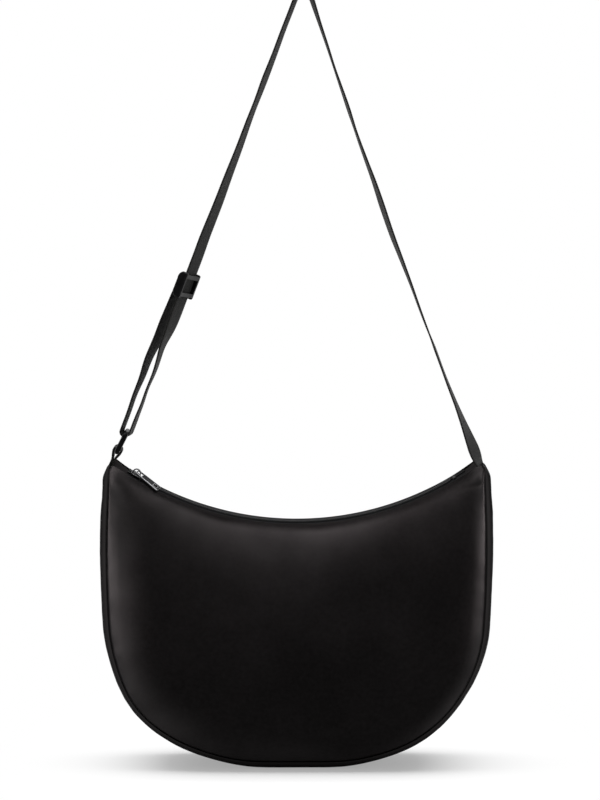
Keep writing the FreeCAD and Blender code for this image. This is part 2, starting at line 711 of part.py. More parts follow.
def webbing_section(point, inward, twist, y=0.0):
    """Webbing cut square to its run; the twist is from the picture plane."""
    turn = math.radians(twist)
    wide = Vector(inward[0] * math.cos(turn), math.sin(turn), inward[1] * math.cos(turn))
    thick = Vector(-inward[0] * math.sin(turn), math.cos(turn), -inward[1] * math.sin(turn))
    middle = Vector(point[0], y, point[1])
    half_wide, half_thick = size("strap_width") / 2, size("strap_thickness") / 2
    corners = [middle + wide * (half_wide * a) + thick * (half_thick * b)
               for a, b in ((-1, -1), (1, -1), (1, 1), (-1, 1))]
    return Part.makePolygon(corners + corners[:1])


def right_sections(low_share, high_share):
    inward = (-math.cos(strap.right_turn), -math.sin(strap.right_turn))
    top, low = size("twist_top"), size("twist_low")
    return [webbing_section(strap.right(share), inward, top + (low - top) * part)
            for share, part in RIGHT_RUN_SHARES if low_share <= share <= high_share]


def make_strap():
    """Webbing from the right corner over the top and down to the ring, in sewn lengths."""
    left_twist, top_twist = size("twist_left"), size("twist_top")
    reach = size("loop_reach")
    twist_start = size("buckle_place") - 2 * size("buckle_length")
    sections = []
    for share in LOW_TWIST_SHARES:
        rise = reach + share * (twist_start - reach)
        twist = 90 + share * (left_twist - 90)
        sections.append(webbing_section(strap.left(rise), strap.inward, twist))
    length = strap.left_length()
    sections.append(webbing_section(strap.left(length * LEFT_RUN_SHARE), strap.inward, left_twist))
    start, end = math.pi - strap.left_turn, strap.right_turn
    steps = 8
    for step in range(steps):
        angle = start + (end - start) * step / steps
        inward = (-math.cos(angle), -math.sin(angle))
        sections.append(webbing_section(polar(strap.top_c, strap.top_r, angle), inward, top_twist))
    sections += right_sections(0.0, RIGHT_END_SHARE)
    feature("shoulder_strap", Part.makeLoft(sections, True, True))
    feature("strap_right_end", Part.makeLoft(right_sections(RIGHT_END_SHARE, 1.0), True, True))


def make_ring_loop():
    """Webbing bent round the ring's upper bar, both ends upright."""
    body = new_body("strap_ring_loop", Placement(Vector(strap.loop_c[0], 0, strap.loop_c[1]),
                                                 Rotation()))
    sketch = sketch_on(body, "XZ_Plane")
    inner, outer = size("loop_inside"), size("loop_inside") + size("strap_thickness")
    reach = size("loop_reach")

    def at(side, radius, rise):
        return Vector(side * radius * strap.inward[0] + rise * strap.along[0],
                      side * radius * strap.inward[1] + rise * strap.along[1], 0)
    items = []
    for radius in (inner, outer):
        low = Vector(-radius * strap.along[0], -radius * strap.along[1], 0)
        items.append(Part.Arc(at(-1, radius, 0), low, at(1, radius, 0)))
        items.append(Part.LineSegment(at(1, radius, 0), at(1, radius, reach)))
        items.append(Part.LineSegment(at(-1, radius, 0), at(-1, radius, reach)))
    for side in (1, -1):
        items.append(Part.LineSegment(at(side, inner, reach), at(side, outer, reach)))
    draw(sketch, items)
    extrude(body, "Pad", sketch, "Sizes.strap_width", symmetric=True)


def buckle_frame():
    """Buckle's frame: x across the webbing, y away from it to the left, z up the strap."""
    point = strap.left(size("buckle_place"))
    turn = math.radians(size("twist_left"))
    inward = Vector(strap.inward[0], 0, strap.inward[1])
    wide = inward * math.cos(turn) + Vector(0, math.sin(turn), 0)
    away = inward * -math.sin(turn) + Vector(0, math.cos(turn), 0)
    return Placement(Vector(point[0], 0, point[1]),
                     Rotation(wide, away, Vector(strap.along[0], 0, strap.along[1]), "XZY"))


def middle_bar():
    """Distance of the middle bar's centre from the webbing's centre."""
    half = size("strap_thickness") / 2
    return half + size("buckle_room") + 2 * half + SEAM + size("buckle_mid_depth") / 2


def make_buckle():
    """Three-bar buckle: outer bars before the webbing, middle bar behind it."""
    body = new_body("slide_buckle", buckle_frame())
    front = -size("strap_thickness") / 2 - size("buckle_room")
    back = middle_bar() + size("buckle_mid_depth") / 2
    rail = sketch_on(body, "YZ_Plane")
    half = size("buckle_length") / 2
    low, high = front - size("buckle_bar"), back
    bar_end, back_end = half * BUCKLE_BAR_SHARE, half * BUCKLE_BACK_SHARE
    top = (low + half - bar_end, high * BUCKLE_TOP_SHARE)

    def corner(start, end, middle):
        """Quarter round between two points, about the given corner of their box."""
        bulge = math.sqrt(0.5)
        mid = [c + (s - c) * bulge + (e - c) * bulge for s, e, c in zip(start, end, middle)]
        return Part.Arc(*[Vector(*point, 0) for point in (start, mid, end)])

    def edge(start, end):
        return Part.LineSegment(Vector(*start, 0), Vector(*end, 0))
    items = [edge((low, -bar_end), (low, bar_end)), edge((high, back_end), (high, -back_end))]
    for side in (1, -1):
        items += [corner((low, side * bar_end), (top[0], side * half), (top[0], side * bar_end)),
                  edge((top[0], side * half), (top[1], side * half)),
                  corner((top[1], side * half), (high, side * back_end), (top[1], side * back_end))]
    draw(rail, items)
    extrude(body, "Pad", rail, "Sizes.strap_width + 2 * Sizes.ring_room"
            " + 2 * Sizes.buckle_rail", symmetric=True)
    window = sketch_on(body, "YZ_Plane")
    wide = 4 * half
    polygon(window, [(-wide, -wide), (wide, -wide), (wide, wide), (-wide, wide)])
    tall = size("buckle_mid")
    for side in (-1, 1):
        near, far = side * (bar_end - tall), side * bar_end
        polygon(window, [(low, near), (front, near), (front, far), (low, far)])
    mid = middle_bar()
    rectangle(window, "mid", "Sizes.buckle_mid_depth", "Sizes.buckle_mid", str(mid))
    cut = extrude(body, "Pocket", window, "Sizes.strap_width + 2 * Sizes.ring_room",
                  symmetric=True)
    side = size("strap_width") / 2 + size("ring_room") + size("buckle_rail")
    ease_edges(body, "Chamfer", cut, "Sizes.buckle_rail / 4", lambda edge: abs(
        abs(edge.CenterOfMass.x) - side) < CLOTH / 100)


def make_sewn_end():
    """End of the webbing sewn round the middle bar, with its leg down the strap."""
    body = new_body("strap_sewn_end", buckle_frame())
    sketch = sketch_on(body, "YZ_Plane")
    thick = size("strap_thickness")
    mid, half = middle_bar(), size("buckle_mid_depth") / 2 + SEAM
    tall = size("buckle_mid") / 2 + SEAM
    leg = size("sewn_leg")
    polygon(sketch, [(mid - half, -tall), (mid + half, -tall), (mid + half, tall),
                     (mid - half, tall)])
    polygon(sketch, [(mid - half - thick, -tall), (mid - half, -tall - thick),
                     (mid + half, -tall - thick), (mid + half, -leg), (mid + half + thick, -leg),
                     (mid + half + thick, tall), (mid + half, tall + thick),
                     (mid - half, tall + thick), (mid - half - thick, tall)])
    extrude(body, "Pad", sketch, "Sizes.strap_width", symmetric=True)


def make_return_ply():
    """Webbing from the ring's loop back up to the buckle."""
    frame = buckle_frame()
    start_point = (strap.loop_c[0] - strap.loop_r * strap.inward[0]
                   + size("loop_reach") * strap.along[0],
                   strap.loop_c[1] - strap.loop_r * strap.inward[1]
                   + size("loop_reach") * strap.along[1])
    ply = middle_bar() + size("buckle_mid_depth") / 2 + SEAM + size("strap_thickness") / 2
    end = frame.multVec(Vector(0, ply, -size("sewn_leg")))
    sections = []
    for share in LOW_TWIST_SHARES:
        point = (start_point[0] + share * (end.x - start_point[0]),
                 start_point[1] + share * (end.z - start_point[1]))
        twist = 90 + share * (size("twist_left") - 90)
        sections.append(webbing_section(point, strap.inward, twist, share * end.y))
    feature("strap_return_ply", Part.makeLoft(sections, True, True))


def make_ring():
    """Rectangular ring of round wire with rounded corners."""
    lean = size("ring_lean")
    turn = Rotation(Vector(0, 1, 0), lean).multiply(Rotation(Vector(0, 0, 1), 90))
    body = new_body("rectangular_ring",
                    Placement(Vector(strap.tab_eye[0], 0, strap.tab_eye[1]), turn))
    wide = size("strap_width") + 2 * size("ring_room") + size("ring_wire")
    tall = size("ring_inside") + size("ring_wire")
    half, corner = wide / 2, size("ring_corner")
    path = sketch_on(body, "XZ_Plane")
    items = [Part.LineSegment(Vector(corner - half, 0, 0), Vector(half - corner, 0, 0))]
    for x_c, z_c, start in ((half - corner, corner, -90), (half - corner, tall - corner, 0),
                            (corner - half, tall - corner, 90), (corner - half, corner, 180)):
        circle = Part.Circle(Vector(x_c, z_c, 0), Vector(0, 0, 1), corner)
        items.append(Part.ArcOfCircle(circle, math.radians(start), math.radians(start + 90)))
    items += [Part.LineSegment(Vector(half, corner, 0), Vector(half, tall - corner, 0)),
              Part.LineSegment(Vector(half - corner, tall, 0), Vector(corner - half, tall, 0)),
              Part.LineSegment(Vector(-half, tall - corner, 0), Vector(-half, corner, 0))]
    draw(path, items)
    wire = sketch_on(body, "YZ_Plane")
    wire.addGeometry(Part.Circle(Vector(0, 0, 0), Vector(0, 0, 1), size("ring_wire") / 2))
    wire.addConstraint(Sketcher.Constraint("Coincident", 0, 3, -1, 1))
    dimension(wire, "Radius", "wire", "Sizes.ring_wire / 2", 0, size("ring_wire") / 2)
    pipe = body.newObject("PartDesign::AdditivePipe", "ring_pipe")
    pipe.Profile = wire
    pipe.Spine = path
    doc.recompute()


def tangent_point(point, centre, radius, side):
    """Touching point of a line from a point to a circle, on the left (-1) or right (1)."""
    dx, dz = point[0] - centre[0], point[1] - centre[1]
    apart = math.hypot(dx, dz)
    turn = math.acos(radius / apart)
    return polar(centre, radius, math.atan2(dz, dx) + side * turn)


def make_tab():
    """Webbing tab sewn into the left corner and folded round the ring."""
    lean = Rotation(Vector(0, 1, 0), size("tab_lean"))
    body = new_body("left_tab", Placement(Vector(strap.tab_foot[0], 0, strap.tab_foot[1]), lean))
    sketch = sketch_on(body, "XZ_Plane")
    ply, rise, eye = size("tab_thickness"), size("tab_rise"), size("tab_eye")
    centre = (0.0, rise)

    def teardrop(foot, radius, half):
        right = tangent_point((half, foot), centre, radius, 1)
        left = (-right[0], right[1])
        top = (0.0, rise + radius)
        arc = Part.Arc(Vector(*right, 0), Vector(*top, 0), Vector(*left, 0))
        return right, left, arc
    right, left, arc = teardrop(ply, eye + ply, ply)
    root = -size("tab_root")
    run = [(ply, root), (ply, ply), right]
    other = [left, (-ply, ply), (-ply, root), (ply, root)]
    items = [arc]
    for points in (run, other):
        items += [Part.LineSegment(Vector(*a, 0), Vector(*b, 0)) for a, b in zip(points, points[1:])]
    draw(sketch, items)
    point = (0.0, rise - 3 * eye)
    right, left, arc = teardrop(point[1], eye, 0.0)
    draw(sketch, [arc, Part.LineSegment(Vector(*point, 0), Vector(*right, 0)),
                  Part.LineSegment(Vector(*left, 0), Vector(*point, 0))])
    extrude(body, "Pad", sketch, "Sizes.tab_width", symmetric=True)


def export():
    """Checks every node and writes its STEP file."""
    doc.recompute()
    os.makedirs("parts", exist_ok=True)
    for node in nodes:
        if "Invalid" in node.State or "Error" in node.State:
            raise RuntimeError("%s did not recompute: %s" % (node.Label, node.State))
        if node.Shape.isNull() or not node.Shape.isValid() or not node.Shape.Solids:
            raise RuntimeError("%s is not a valid solid" % node.Label)
        node.Shape.exportStep("parts/%s.step" % node.Label)


make_panels()
make_gusset()
make_tapes()
make_teeth()
make_stops()
make_end_tabs()
make_slider()
make_crown()
make_pull()
make_strap()
make_ring_loop()
make_buckle()
make_sewn_end()
make_return_ply()
make_ring()
make_tab()
export()
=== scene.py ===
"""Half moon shoulder bag with a webbing strap: the looks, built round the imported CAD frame.

Shapes are drawn in millimetres in the bag's own frame (x right, y back, z up from the middle
of the base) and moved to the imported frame, whose origin is the underside of the strap's top.
"""

import json
import logging
import math
from dataclasses import dataclass, field, replace
from enum import Enum, IntEnum
from typing import Any, Sequence

import bmesh
import bpy
import numpy as np
from bpy.types import Material, Mesh, NodeSocket, Object
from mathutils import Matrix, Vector
from mathutils.kdtree import KDTree

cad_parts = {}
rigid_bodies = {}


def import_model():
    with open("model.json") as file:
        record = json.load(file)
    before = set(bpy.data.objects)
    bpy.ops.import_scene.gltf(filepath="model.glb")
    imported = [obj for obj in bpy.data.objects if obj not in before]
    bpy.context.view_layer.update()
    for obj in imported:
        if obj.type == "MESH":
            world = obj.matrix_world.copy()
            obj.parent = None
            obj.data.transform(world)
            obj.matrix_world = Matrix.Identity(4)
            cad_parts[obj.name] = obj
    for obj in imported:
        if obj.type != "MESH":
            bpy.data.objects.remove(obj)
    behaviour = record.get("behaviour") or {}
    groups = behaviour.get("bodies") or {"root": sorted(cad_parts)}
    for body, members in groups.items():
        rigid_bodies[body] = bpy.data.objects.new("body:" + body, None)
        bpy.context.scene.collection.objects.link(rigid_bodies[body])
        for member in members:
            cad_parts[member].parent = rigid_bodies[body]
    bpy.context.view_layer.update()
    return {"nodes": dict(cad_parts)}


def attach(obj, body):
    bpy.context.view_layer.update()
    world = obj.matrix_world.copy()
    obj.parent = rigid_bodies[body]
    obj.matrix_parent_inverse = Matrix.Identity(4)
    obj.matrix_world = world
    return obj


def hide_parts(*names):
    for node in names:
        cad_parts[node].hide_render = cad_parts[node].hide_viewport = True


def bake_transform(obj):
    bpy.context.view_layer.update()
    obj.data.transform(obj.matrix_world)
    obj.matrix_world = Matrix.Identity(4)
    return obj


LOG = logging.getLogger("half_moon_bag")
MM = 0.001
HOME = np.array([-7.0, 0.0, -771.0])
RIM_BULGE = 0.4
MIDDLE_RANGE = (-60.0, 60.0)
BASE_RANGE = (15.0, 90.0)
WHITE = (1.0, 1.0, 1.0, 1.0)
PLASTIC_IOR = 1.5
Array = np.ndarray
Colour = tuple[float, float, float]
Range = tuple[float, float]
Point = tuple[float, float, float]


class Named(Enum):
    """Members that give their names in lower case."""

    @property
    def word(self) -> str:
        """Name in lower case."""
        return self.name.lower()


class Side(Named):
    """Front or back of the bag; the value is the sign of y."""

    FRONT = -1
    BACK = 1


class End(Named):
    """Left or right end of the bag; the value is the sign of x."""

    LEFT = -1
    RIGHT = 1


class Seed(IntEnum):
    """Fixed seed of each noise."""

    TAPE = 5
    FRONT = 11
    BACK = 23
    GUSSET = 37
    ZIP_END = 61
    STRAP_LOW = 71
    STRAP_HIGH = 73
    STRAP_RIGHT = 79
    STRAP_RETURN = 83
    # Noises of the painted sheen.
    RUB = 91
    RUB_FINE = 92


# Plane and noise helpers.


def to_world(points: Array) -> Array:
    """Moves points from the bag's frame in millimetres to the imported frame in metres."""
    return (np.asarray(points, float) + HOME) * MM


def smoothstep(low: float, high: float, value: Array) -> Array:
    """Smooth ramp from 0 at low to 1 at high."""
    share = np.clip((np.asarray(value, float) - low) / (high - low), 0.0, 1.0)
    return share * share * (3.0 - 2.0 * share)


def window(start: Range, end: Range, value: Array) -> Array:
    """Smooth rise over the start range and smooth fall over the end range."""
    return smoothstep(*start, value) * (1 - smoothstep(*end, value))


def clustered(count: int, pull: float) -> Array:
    """Shares from 0 to 1 that crowd towards both ends.

    Args:
        count: number of shares.
        pull: 0 for even spacing, near 1 for very fine ends.

    Returns:
        The shares in rising order.
    """
    even = np.linspace(0.0, 1.0, count)
    return even - pull * np.sin(2 * np.pi * even) / (2 * np.pi)


def unit(vectors: Array) -> Array:
    """Vectors scaled to length 1."""
    return vectors / np.maximum(np.linalg.norm(vectors, axis=-1, keepdims=True), 1e-12)


def travelled(points: Array) -> Array:
    """Length along a polyline at each of its points."""
    return np.concatenate([[0.0], np.cumsum(np.linalg.norm(np.diff(points, axis=0), axis=1))])


def along_line(points: Array, shares: Array) -> Array:
    """Places on a polyline at shares of its length.

    Args:
        points: points of the line.
        shares: shares from 0 to 1.

    Returns:
        One place for each share.
    """
    lengths = travelled(points)
    wanted = np.asarray(shares) * lengths[-1]
    return np.stack([np.interp(wanted, lengths, points[:, axis])
                     for axis in range(points.shape[1])], axis=1)


class SmoothNoise:
    """Repeatable gradient noise on the plane, about -0.7 to 0.7."""

    lattice = 64

    def __init__(self, seed: Seed) -> None:
        """Draws the lattice of gradient angles from a fixed seed."""
        self.angles = np.random.default_rng(int(seed)).uniform(
            0.0, 2 * np.pi, (self.lattice, self.lattice))

    def __call__(self, x: Array, y: Array, wavelength: float) -> Array:
        """Noise at places of the plane.

        Args:
            x: first coordinates.
            y: second coordinates.
            wavelength: size of one lattice cell in the same unit.

        Returns:
            Noise values of the same shape.
        """
        across, up = np.asarray(x, float) / wavelength, np.asarray(y, float) / wavelength
        left, low = np.floor(across).astype(int), np.floor(up).astype(int)
        fx, fy = across - left, up - low
        ease_x, ease_y = fx ** 3 * (fx * (6 * fx - 15) + 10), fy ** 3 * (fy * (6 * fy - 15) + 10)

        def corner(dx: int, dy: int) -> Array:
            """Slope noise from one corner of each place's cell."""
            angle = self.angles[(left + dx) % self.lattice, (low + dy) % self.lattice]
            return np.cos(angle) * (fx - dx) + np.sin(angle) * (fy - dy)

        bottom = corner(0, 0) * (1 - ease_x) + corner(1, 0) * ease_x
        top = corner(0, 1) * (1 - ease_x) + corner(1, 1) * ease_x
        return bottom * (1 - ease_y) + top * ease_y


@dataclass(frozen=True)
class Wave:
    """Noise of one height and length that dies away from an edge.

    Args:
        height: factor of the noise.
        length: its wavelength.
        fade: distance from the edge over which it dies away.
    """

    height: float
    length: float
    fade: float = math.inf

    def at(self, noise: SmoothNoise, x: Array, y: Array, away: Array | float = 0.0) -> Array:
        """Offsets at places of the plane and their distances from the edge."""
        return self.height * noise(x, y, self.length) * np.exp(-away / self.fade)


# Mesh helpers.


def sheet_normals(grid: Array) -> Array:
    """Unit normals of a grid of points, columns crossed with rows."""
    return unit(np.cross(np.gradient(grid, axis=1), np.gradient(grid, axis=0)))


def outward(grid: Array, side: Side) -> Array:
    """Unit normals of a panel's grid, turned to the outside."""
    normal = sheet_normals(grid)
    return normal * np.sign(normal[..., 1:2] * side.value)


def boundary(rows: int, columns: int) -> Array:
    """Indices of a grid's rim in order, without repeating the first."""
    index = np.arange(rows * columns).reshape(rows, columns)
    return np.concatenate([index[0, :-1], index[:-1, -1], index[-1, :0:-1], index[:0:-1, 0]])


def closed_sheet(grid: Array, thickness: float, flip: bool) -> tuple[Array, list[list[int]], Array]:
    """Cloth with a face, a back and a rounded rim.

    Args:
        grid: rows by columns of points on the outer face.
        thickness: cloth thickness.
        flip: True if the outer face looks against the grid's own normal.

    Returns:
        Points, faces and the index of the grid point that each point came from.
    """
    rows, columns = grid.shape[:2]
    normal = sheet_normals(grid) * (-1.0 if flip else 1.0)
    outer = grid.reshape(-1, 3)
    inner = (grid - normal * thickness).reshape(-1, 3)
    rim = boundary(rows, columns)
    inside = np.clip(np.stack(np.divmod(rim, columns), 1), 1, [rows - 2, columns - 2])
    away = unit(outer[rim] - outer[inside[:, 0] * columns + inside[:, 1]])
    middle = (outer[rim] + inner[rim]) / 2 + away * thickness * RIM_BULGE
    count = rows * columns
    index = np.arange(count).reshape(rows, columns)
    quads = np.stack([index[:-1, :-1], index[:-1, 1:], index[1:, 1:], index[1:, :-1]], -1)
    quads = quads.reshape(-1, 4)
    ahead = np.roll(rim, -1)
    mid = 2 * count + np.arange(len(rim))
    mid_ahead = np.roll(mid, -1)
    faces = np.concatenate([
        quads, quads[:, ::-1] + count,
        np.stack([ahead, rim, mid, mid_ahead], 1),
        np.stack([mid_ahead, mid, rim + count, ahead + count], 1)])
    if flip:
        faces = faces[:, ::-1]
    source = np.concatenate([np.arange(count), np.arange(count), rim])
    return np.concatenate([outer, inner, middle]), faces.tolist(), source


def make_object(name: str, points: Array, faces: Sequence[Sequence[int]], uv: Array,
                material: Material, rub: Array | None = None) -> Object:
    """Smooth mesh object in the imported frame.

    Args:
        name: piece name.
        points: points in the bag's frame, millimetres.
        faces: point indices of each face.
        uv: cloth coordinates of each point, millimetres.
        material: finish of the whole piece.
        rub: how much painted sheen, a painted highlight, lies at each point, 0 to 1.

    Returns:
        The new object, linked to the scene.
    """
    mesh = bpy.data.meshes.new(name)
    mesh.from_pydata(to_world(points).tolist(), [], faces)
    corners = np.empty(len(mesh.loops), dtype=np.int32)
    mesh.loops.foreach_get("vertex_index", corners)
    layer = mesh.uv_layers.new(name="UVMap")
    layer.data.foreach_set("uv", (np.asarray(uv, float)[corners] * MM).ravel())
    # The painted sheen is kept on the mesh as an attribute for the nylon to read.
    if rub is not None:
        mesh.attributes.new("rub", "FLOAT", "POINT").data.foreach_set(
            "value", np.ascontiguousarray(rub, np.float32))
    mesh.shade_smooth()
    mesh.materials.append(material)
    return link_mesh(name, mesh)


def link_mesh(name: str, mesh: Mesh) -> Object:
    """Object for a mesh, linked to the scene.

    Args:
        name: object name.
        mesh: its mesh.

    Returns:
        The new object.
    """
    obj = bpy.data.objects.new(name, mesh)
    bpy.context.scene.collection.objects.link(obj)
    return obj


def carry(obj: Object, body: str, slot: str, *stands_for: str) -> None:
    """Hangs a piece on its body and hides the CAD nodes that it stands for.

    Args:
        obj: the piece.
        body: body that carries it.
        slot: record slot; not used.
        *stands_for: CAD nodes that it replaces.
    """
    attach(obj, body)
    if stands_for:
        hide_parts(*stands_for)


def sew(name: str, kind: str, slot: str, grid: Array, uv: Array, thickness: float, flip: bool,
        finish: Material, rub: Array | None = None) -> None:
    """Closed cloth on the bag that stands for the CAD node of its name.

    Args:
        name: CAD node.
        kind: word after the node's name in the piece's name.
        slot: record slot.
        grid: points on the outer face.
        uv: cloth coordinates of the grid.
        thickness: cloth thickness.
        flip: True if the outer face looks against the grid's own normal.
        finish: material.
        rub: painted sheen at each grid point, a painted highlight.
    """
    points, faces, source = closed_sheet(grid, thickness, flip)
    rub = None if rub is None else rub.ravel()[source]
    obj = make_object(f"{name}_{kind}", points, faces, uv.reshape(-1, 2)[source], finish, rub)
    carry(obj, "bag", slot, name)


# Finishes.


class NodeTree:
    """Shader nodes and the links between them."""

    def __init__(self, tree: bpy.types.NodeTree) -> None:
        """Empties the tree."""
        self.nodes, self.links = tree.nodes, tree.links
        self.nodes.clear()

    def add(self, kind: str, settings: dict[str, Any] | None = None, **inputs: Any) -> Any:
        """New node with its settings and inputs.

        Args:
            kind: node type.
            settings: properties of the node itself.
            **inputs: values or sockets by input name, with _ for a space.

        Returns:
            The node.
        """
        node = self.nodes.new(kind)
        for key, value in (settings or {}).items():
            setattr(node, key, value)
        for key, value in inputs.items():
            self.put(node.inputs[key.replace("_", " ")], value)
        return node

    def put(self, socket: NodeSocket, value: Any) -> None:
        """Links a socket into an input, or sets a plain value there.

        Args:
            socket: the input.
            value: a socket or a plain value.
        """
        if isinstance(value, NodeSocket):
            self.links.new(value, socket)
        else:
            socket.default_value = value

    def calc(self, operation: str, first: Any, second: Any = 0.0, third: Any = 0.0) -> Any:
        """Output of one math node.

        Args:
            operation: its operation.
            first: first input, a socket or a number.
            second: second input.
            third: third input.

        Returns:
            The output socket.
        """
        node = self.add("ShaderNodeMath", {"operation": operation})
        for socket, value in zip(node.inputs, (first, second, third)):
            self.put(socket, value)
        return node.outputs[0]

    def seen(self) -> Any:
        """1 for rays that see, mirror or pass through a thing, 0 for those that light it.

        Returns:
            The output socket.
        """
        rays = self.add("ShaderNodeLightPath").outputs
        return self.calc("MAXIMUM", rays["Is Camera Ray"], self.calc(
            "MAXIMUM", rays["Is Glossy Ray"], rays["Is Transmission Ray"]))

    def blend(self, share: Any, first: Any, second: Any) -> Any:
        """Shader between two shaders.

        Args:
            share: share of the second.
            first: first shader.
            second: second shader.

        Returns:
            The output socket.
        """
        node = self.add("ShaderNodeMixShader")
        for socket, value in zip(node.inputs, (share, first, second)):
            self.put(socket, value)
        return node.outputs[0]


class ShaderTree(NodeTree):
    """Node material with a Principled surface."""

    def __init__(self, name: str) -> None:
        """Makes a material with its surface and output nodes.

        Args:
            name: material name.
        """
        self.material = bpy.data.materials.new(name)
        self.material.use_nodes = True
        super().__init__(self.material.node_tree)
        self.output = self.add("ShaderNodeOutputMaterial")
        self.surface = self.add("ShaderNodeBsdfPrincipled")
        self.put(self.output.inputs["Surface"], self.surface.outputs[0])
        coordinates = self.add("ShaderNodeTexCoord")
        self.object_place = coordinates.outputs["Object"]
        self.uv_place = coordinates.outputs["UV"]

    def noise(self, place: Any, scale: float, detail: float = 3.0, rough: float = 0.55) -> Any:
        """Noise value at a place."""
        return self.add("ShaderNodeTexNoise", Vector=place, Scale=scale, Detail=detail,
                        Roughness=rough).outputs["Fac"]

    def spread(self, value: Any, low: float, high: float) -> Any:
        """Noise around a half spread to a range of values."""
        return self.remap(value, (0.3, 0.7), (low, high))

    def remap(self, value: Any, source: Range, target: Range, easing: str = "LINEAR") -> Any:
        """Value moved from one range to another.

        Args:
            value: a socket.
            source: range that it has.
            target: range that it gets.
            easing: kind of interpolation.

        Returns:
            The output socket.
        """
        node = self.add("ShaderNodeMapRange", {"interpolation_type": easing})
        for key, amount in zip(("Value", "From Min", "From Max", "To Min", "To Max"),
                               (value, *source, *target)):
            self.put(node.inputs[key], amount)
        return node.outputs[0]

    def mix(self, share: Any, low: Any, high: Any) -> Any:
        """Colour between two colours or colour sockets.

        Args:
            share: share of the second.
            low: first colour.
            high: second colour.

        Returns:
            The output socket.
        """
        node = self.add("ShaderNodeMix", {"data_type": "RGBA"})
        self.put(node.inputs["Factor"], share)
        for socket, colour in ((node.inputs[6], low), (node.inputs[7], high)):
            self.put(socket, colour if isinstance(colour, NodeSocket) else (*colour, 1.0))
        return node.outputs[2]

    def attribute(self, name: str) -> Any:
        """Value of a mesh attribute."""
        return self.add("ShaderNodeAttribute", {"attribute_name": name}).outputs["Fac"]

    def rough(self, noise: Any, middle: float, less: float = 0.08, more: float = 0.1) -> Any:
        """Roughness that a noise spreads round a middle value."""
        return self.spread(noise, middle - less, middle + more)

    def axes(self, place: Any) -> tuple[Any, Any]:
        """First two coordinates of a place."""
        node = self.add("ShaderNodeSeparateXYZ", Vector=place)
        return node.outputs[0], node.outputs[1]

    def bump(self, height: Any, distance: float, strength: float) -> Any:
        """Normal from a height."""
        return self.add("ShaderNodeBump", Height=height, Distance=distance,
                        Strength=strength).outputs[0]

    def finish(self, **sockets: Any) -> Material:
        """Sets the surface's sockets.

        Args:
            **sockets: values or sockets by input name, with _ for a space.

        Returns:
            The material.
        """
        for key, value in sockets.items():
            self.put(self.surface.inputs[key.replace("_", " ")], value)
        return self.material


@dataclass(frozen=True)
class Nylon:
    """Plain woven black nylon, evenly glossy, paler and shinier where sheen is painted on."""

    name: str
    dark: Colour = (0.0042, 0.0038, 0.0038)
    light: Colour = (0.0078, 0.0071, 0.0072)
    roughness: float = 0.4
    thread: float = 0.00042
    sheen: float = 0.0
    specular: float = 0.0
    # Colour of the painted sheen, a painted highlight on the rolled edges and below the mouth.
    rubbed: Colour = (0.0345, 0.0322, 0.0325)
    gloss: float = 0.5
    grazing: Colour = (0.42, 0.42, 0.42)
    slub_scale: float = 260.0
    patch_scale: float = 14.0
    weave_height: float = 0.6
    rub_spread: Range = (0.8, 1.0)
    rough_spread: Range = (0.05, 0.07)
    sheen_roughness: float = 0.4
    bump_depth: float = 0.00012
    bump_strength: float = 0.35

    def material(self) -> Material:
        """Woven material on the cloth's own coordinates.

        Returns:
            The material.
        """
        tree = ShaderTree(self.name)
        across, along = tree.axes(tree.uv_place)
        turn = math.pi / self.thread
        warp = tree.calc("SINE", tree.calc("MULTIPLY", across, turn))
        weft = tree.calc("SINE", tree.calc("MULTIPLY", along, turn))
        weave = tree.calc("MULTIPLY", warp, weft)
        slub = tree.noise(tree.object_place, self.slub_scale, 2.0)
        patch = tree.noise(tree.object_place, self.patch_scale, 4.0)
        height = tree.calc("ADD", tree.calc("MULTIPLY", weave, self.weave_height), slub)
        mottle = tree.calc("MULTIPLY", tree.calc("ADD", slub, patch), 0.5)
        # Painted sheen: where the mesh attribute says, the colour turns paler and, through the
        # metallic share, glossier.
        worn = tree.calc("MULTIPLY", tree.attribute("rub"), tree.spread(patch, *self.rub_spread))
        plain = tree.mix(tree.spread(mottle, 0.0, 1.0), self.dark, self.light)
        return tree.finish(
            Base_Color=tree.mix(worn, plain, self.rubbed),
            Roughness=tree.rough(patch, self.roughness, *self.rough_spread),
            Normal=tree.bump(height, self.bump_depth, self.bump_strength),
            Sheen_Weight=self.sheen, Sheen_Roughness=self.sheen_roughness,
            Specular_IOR_Level=self.specular, Specular_Tint=(*self.grazing, 1.0),
            Metallic=self.gloss, IOR=PLASTIC_IOR)


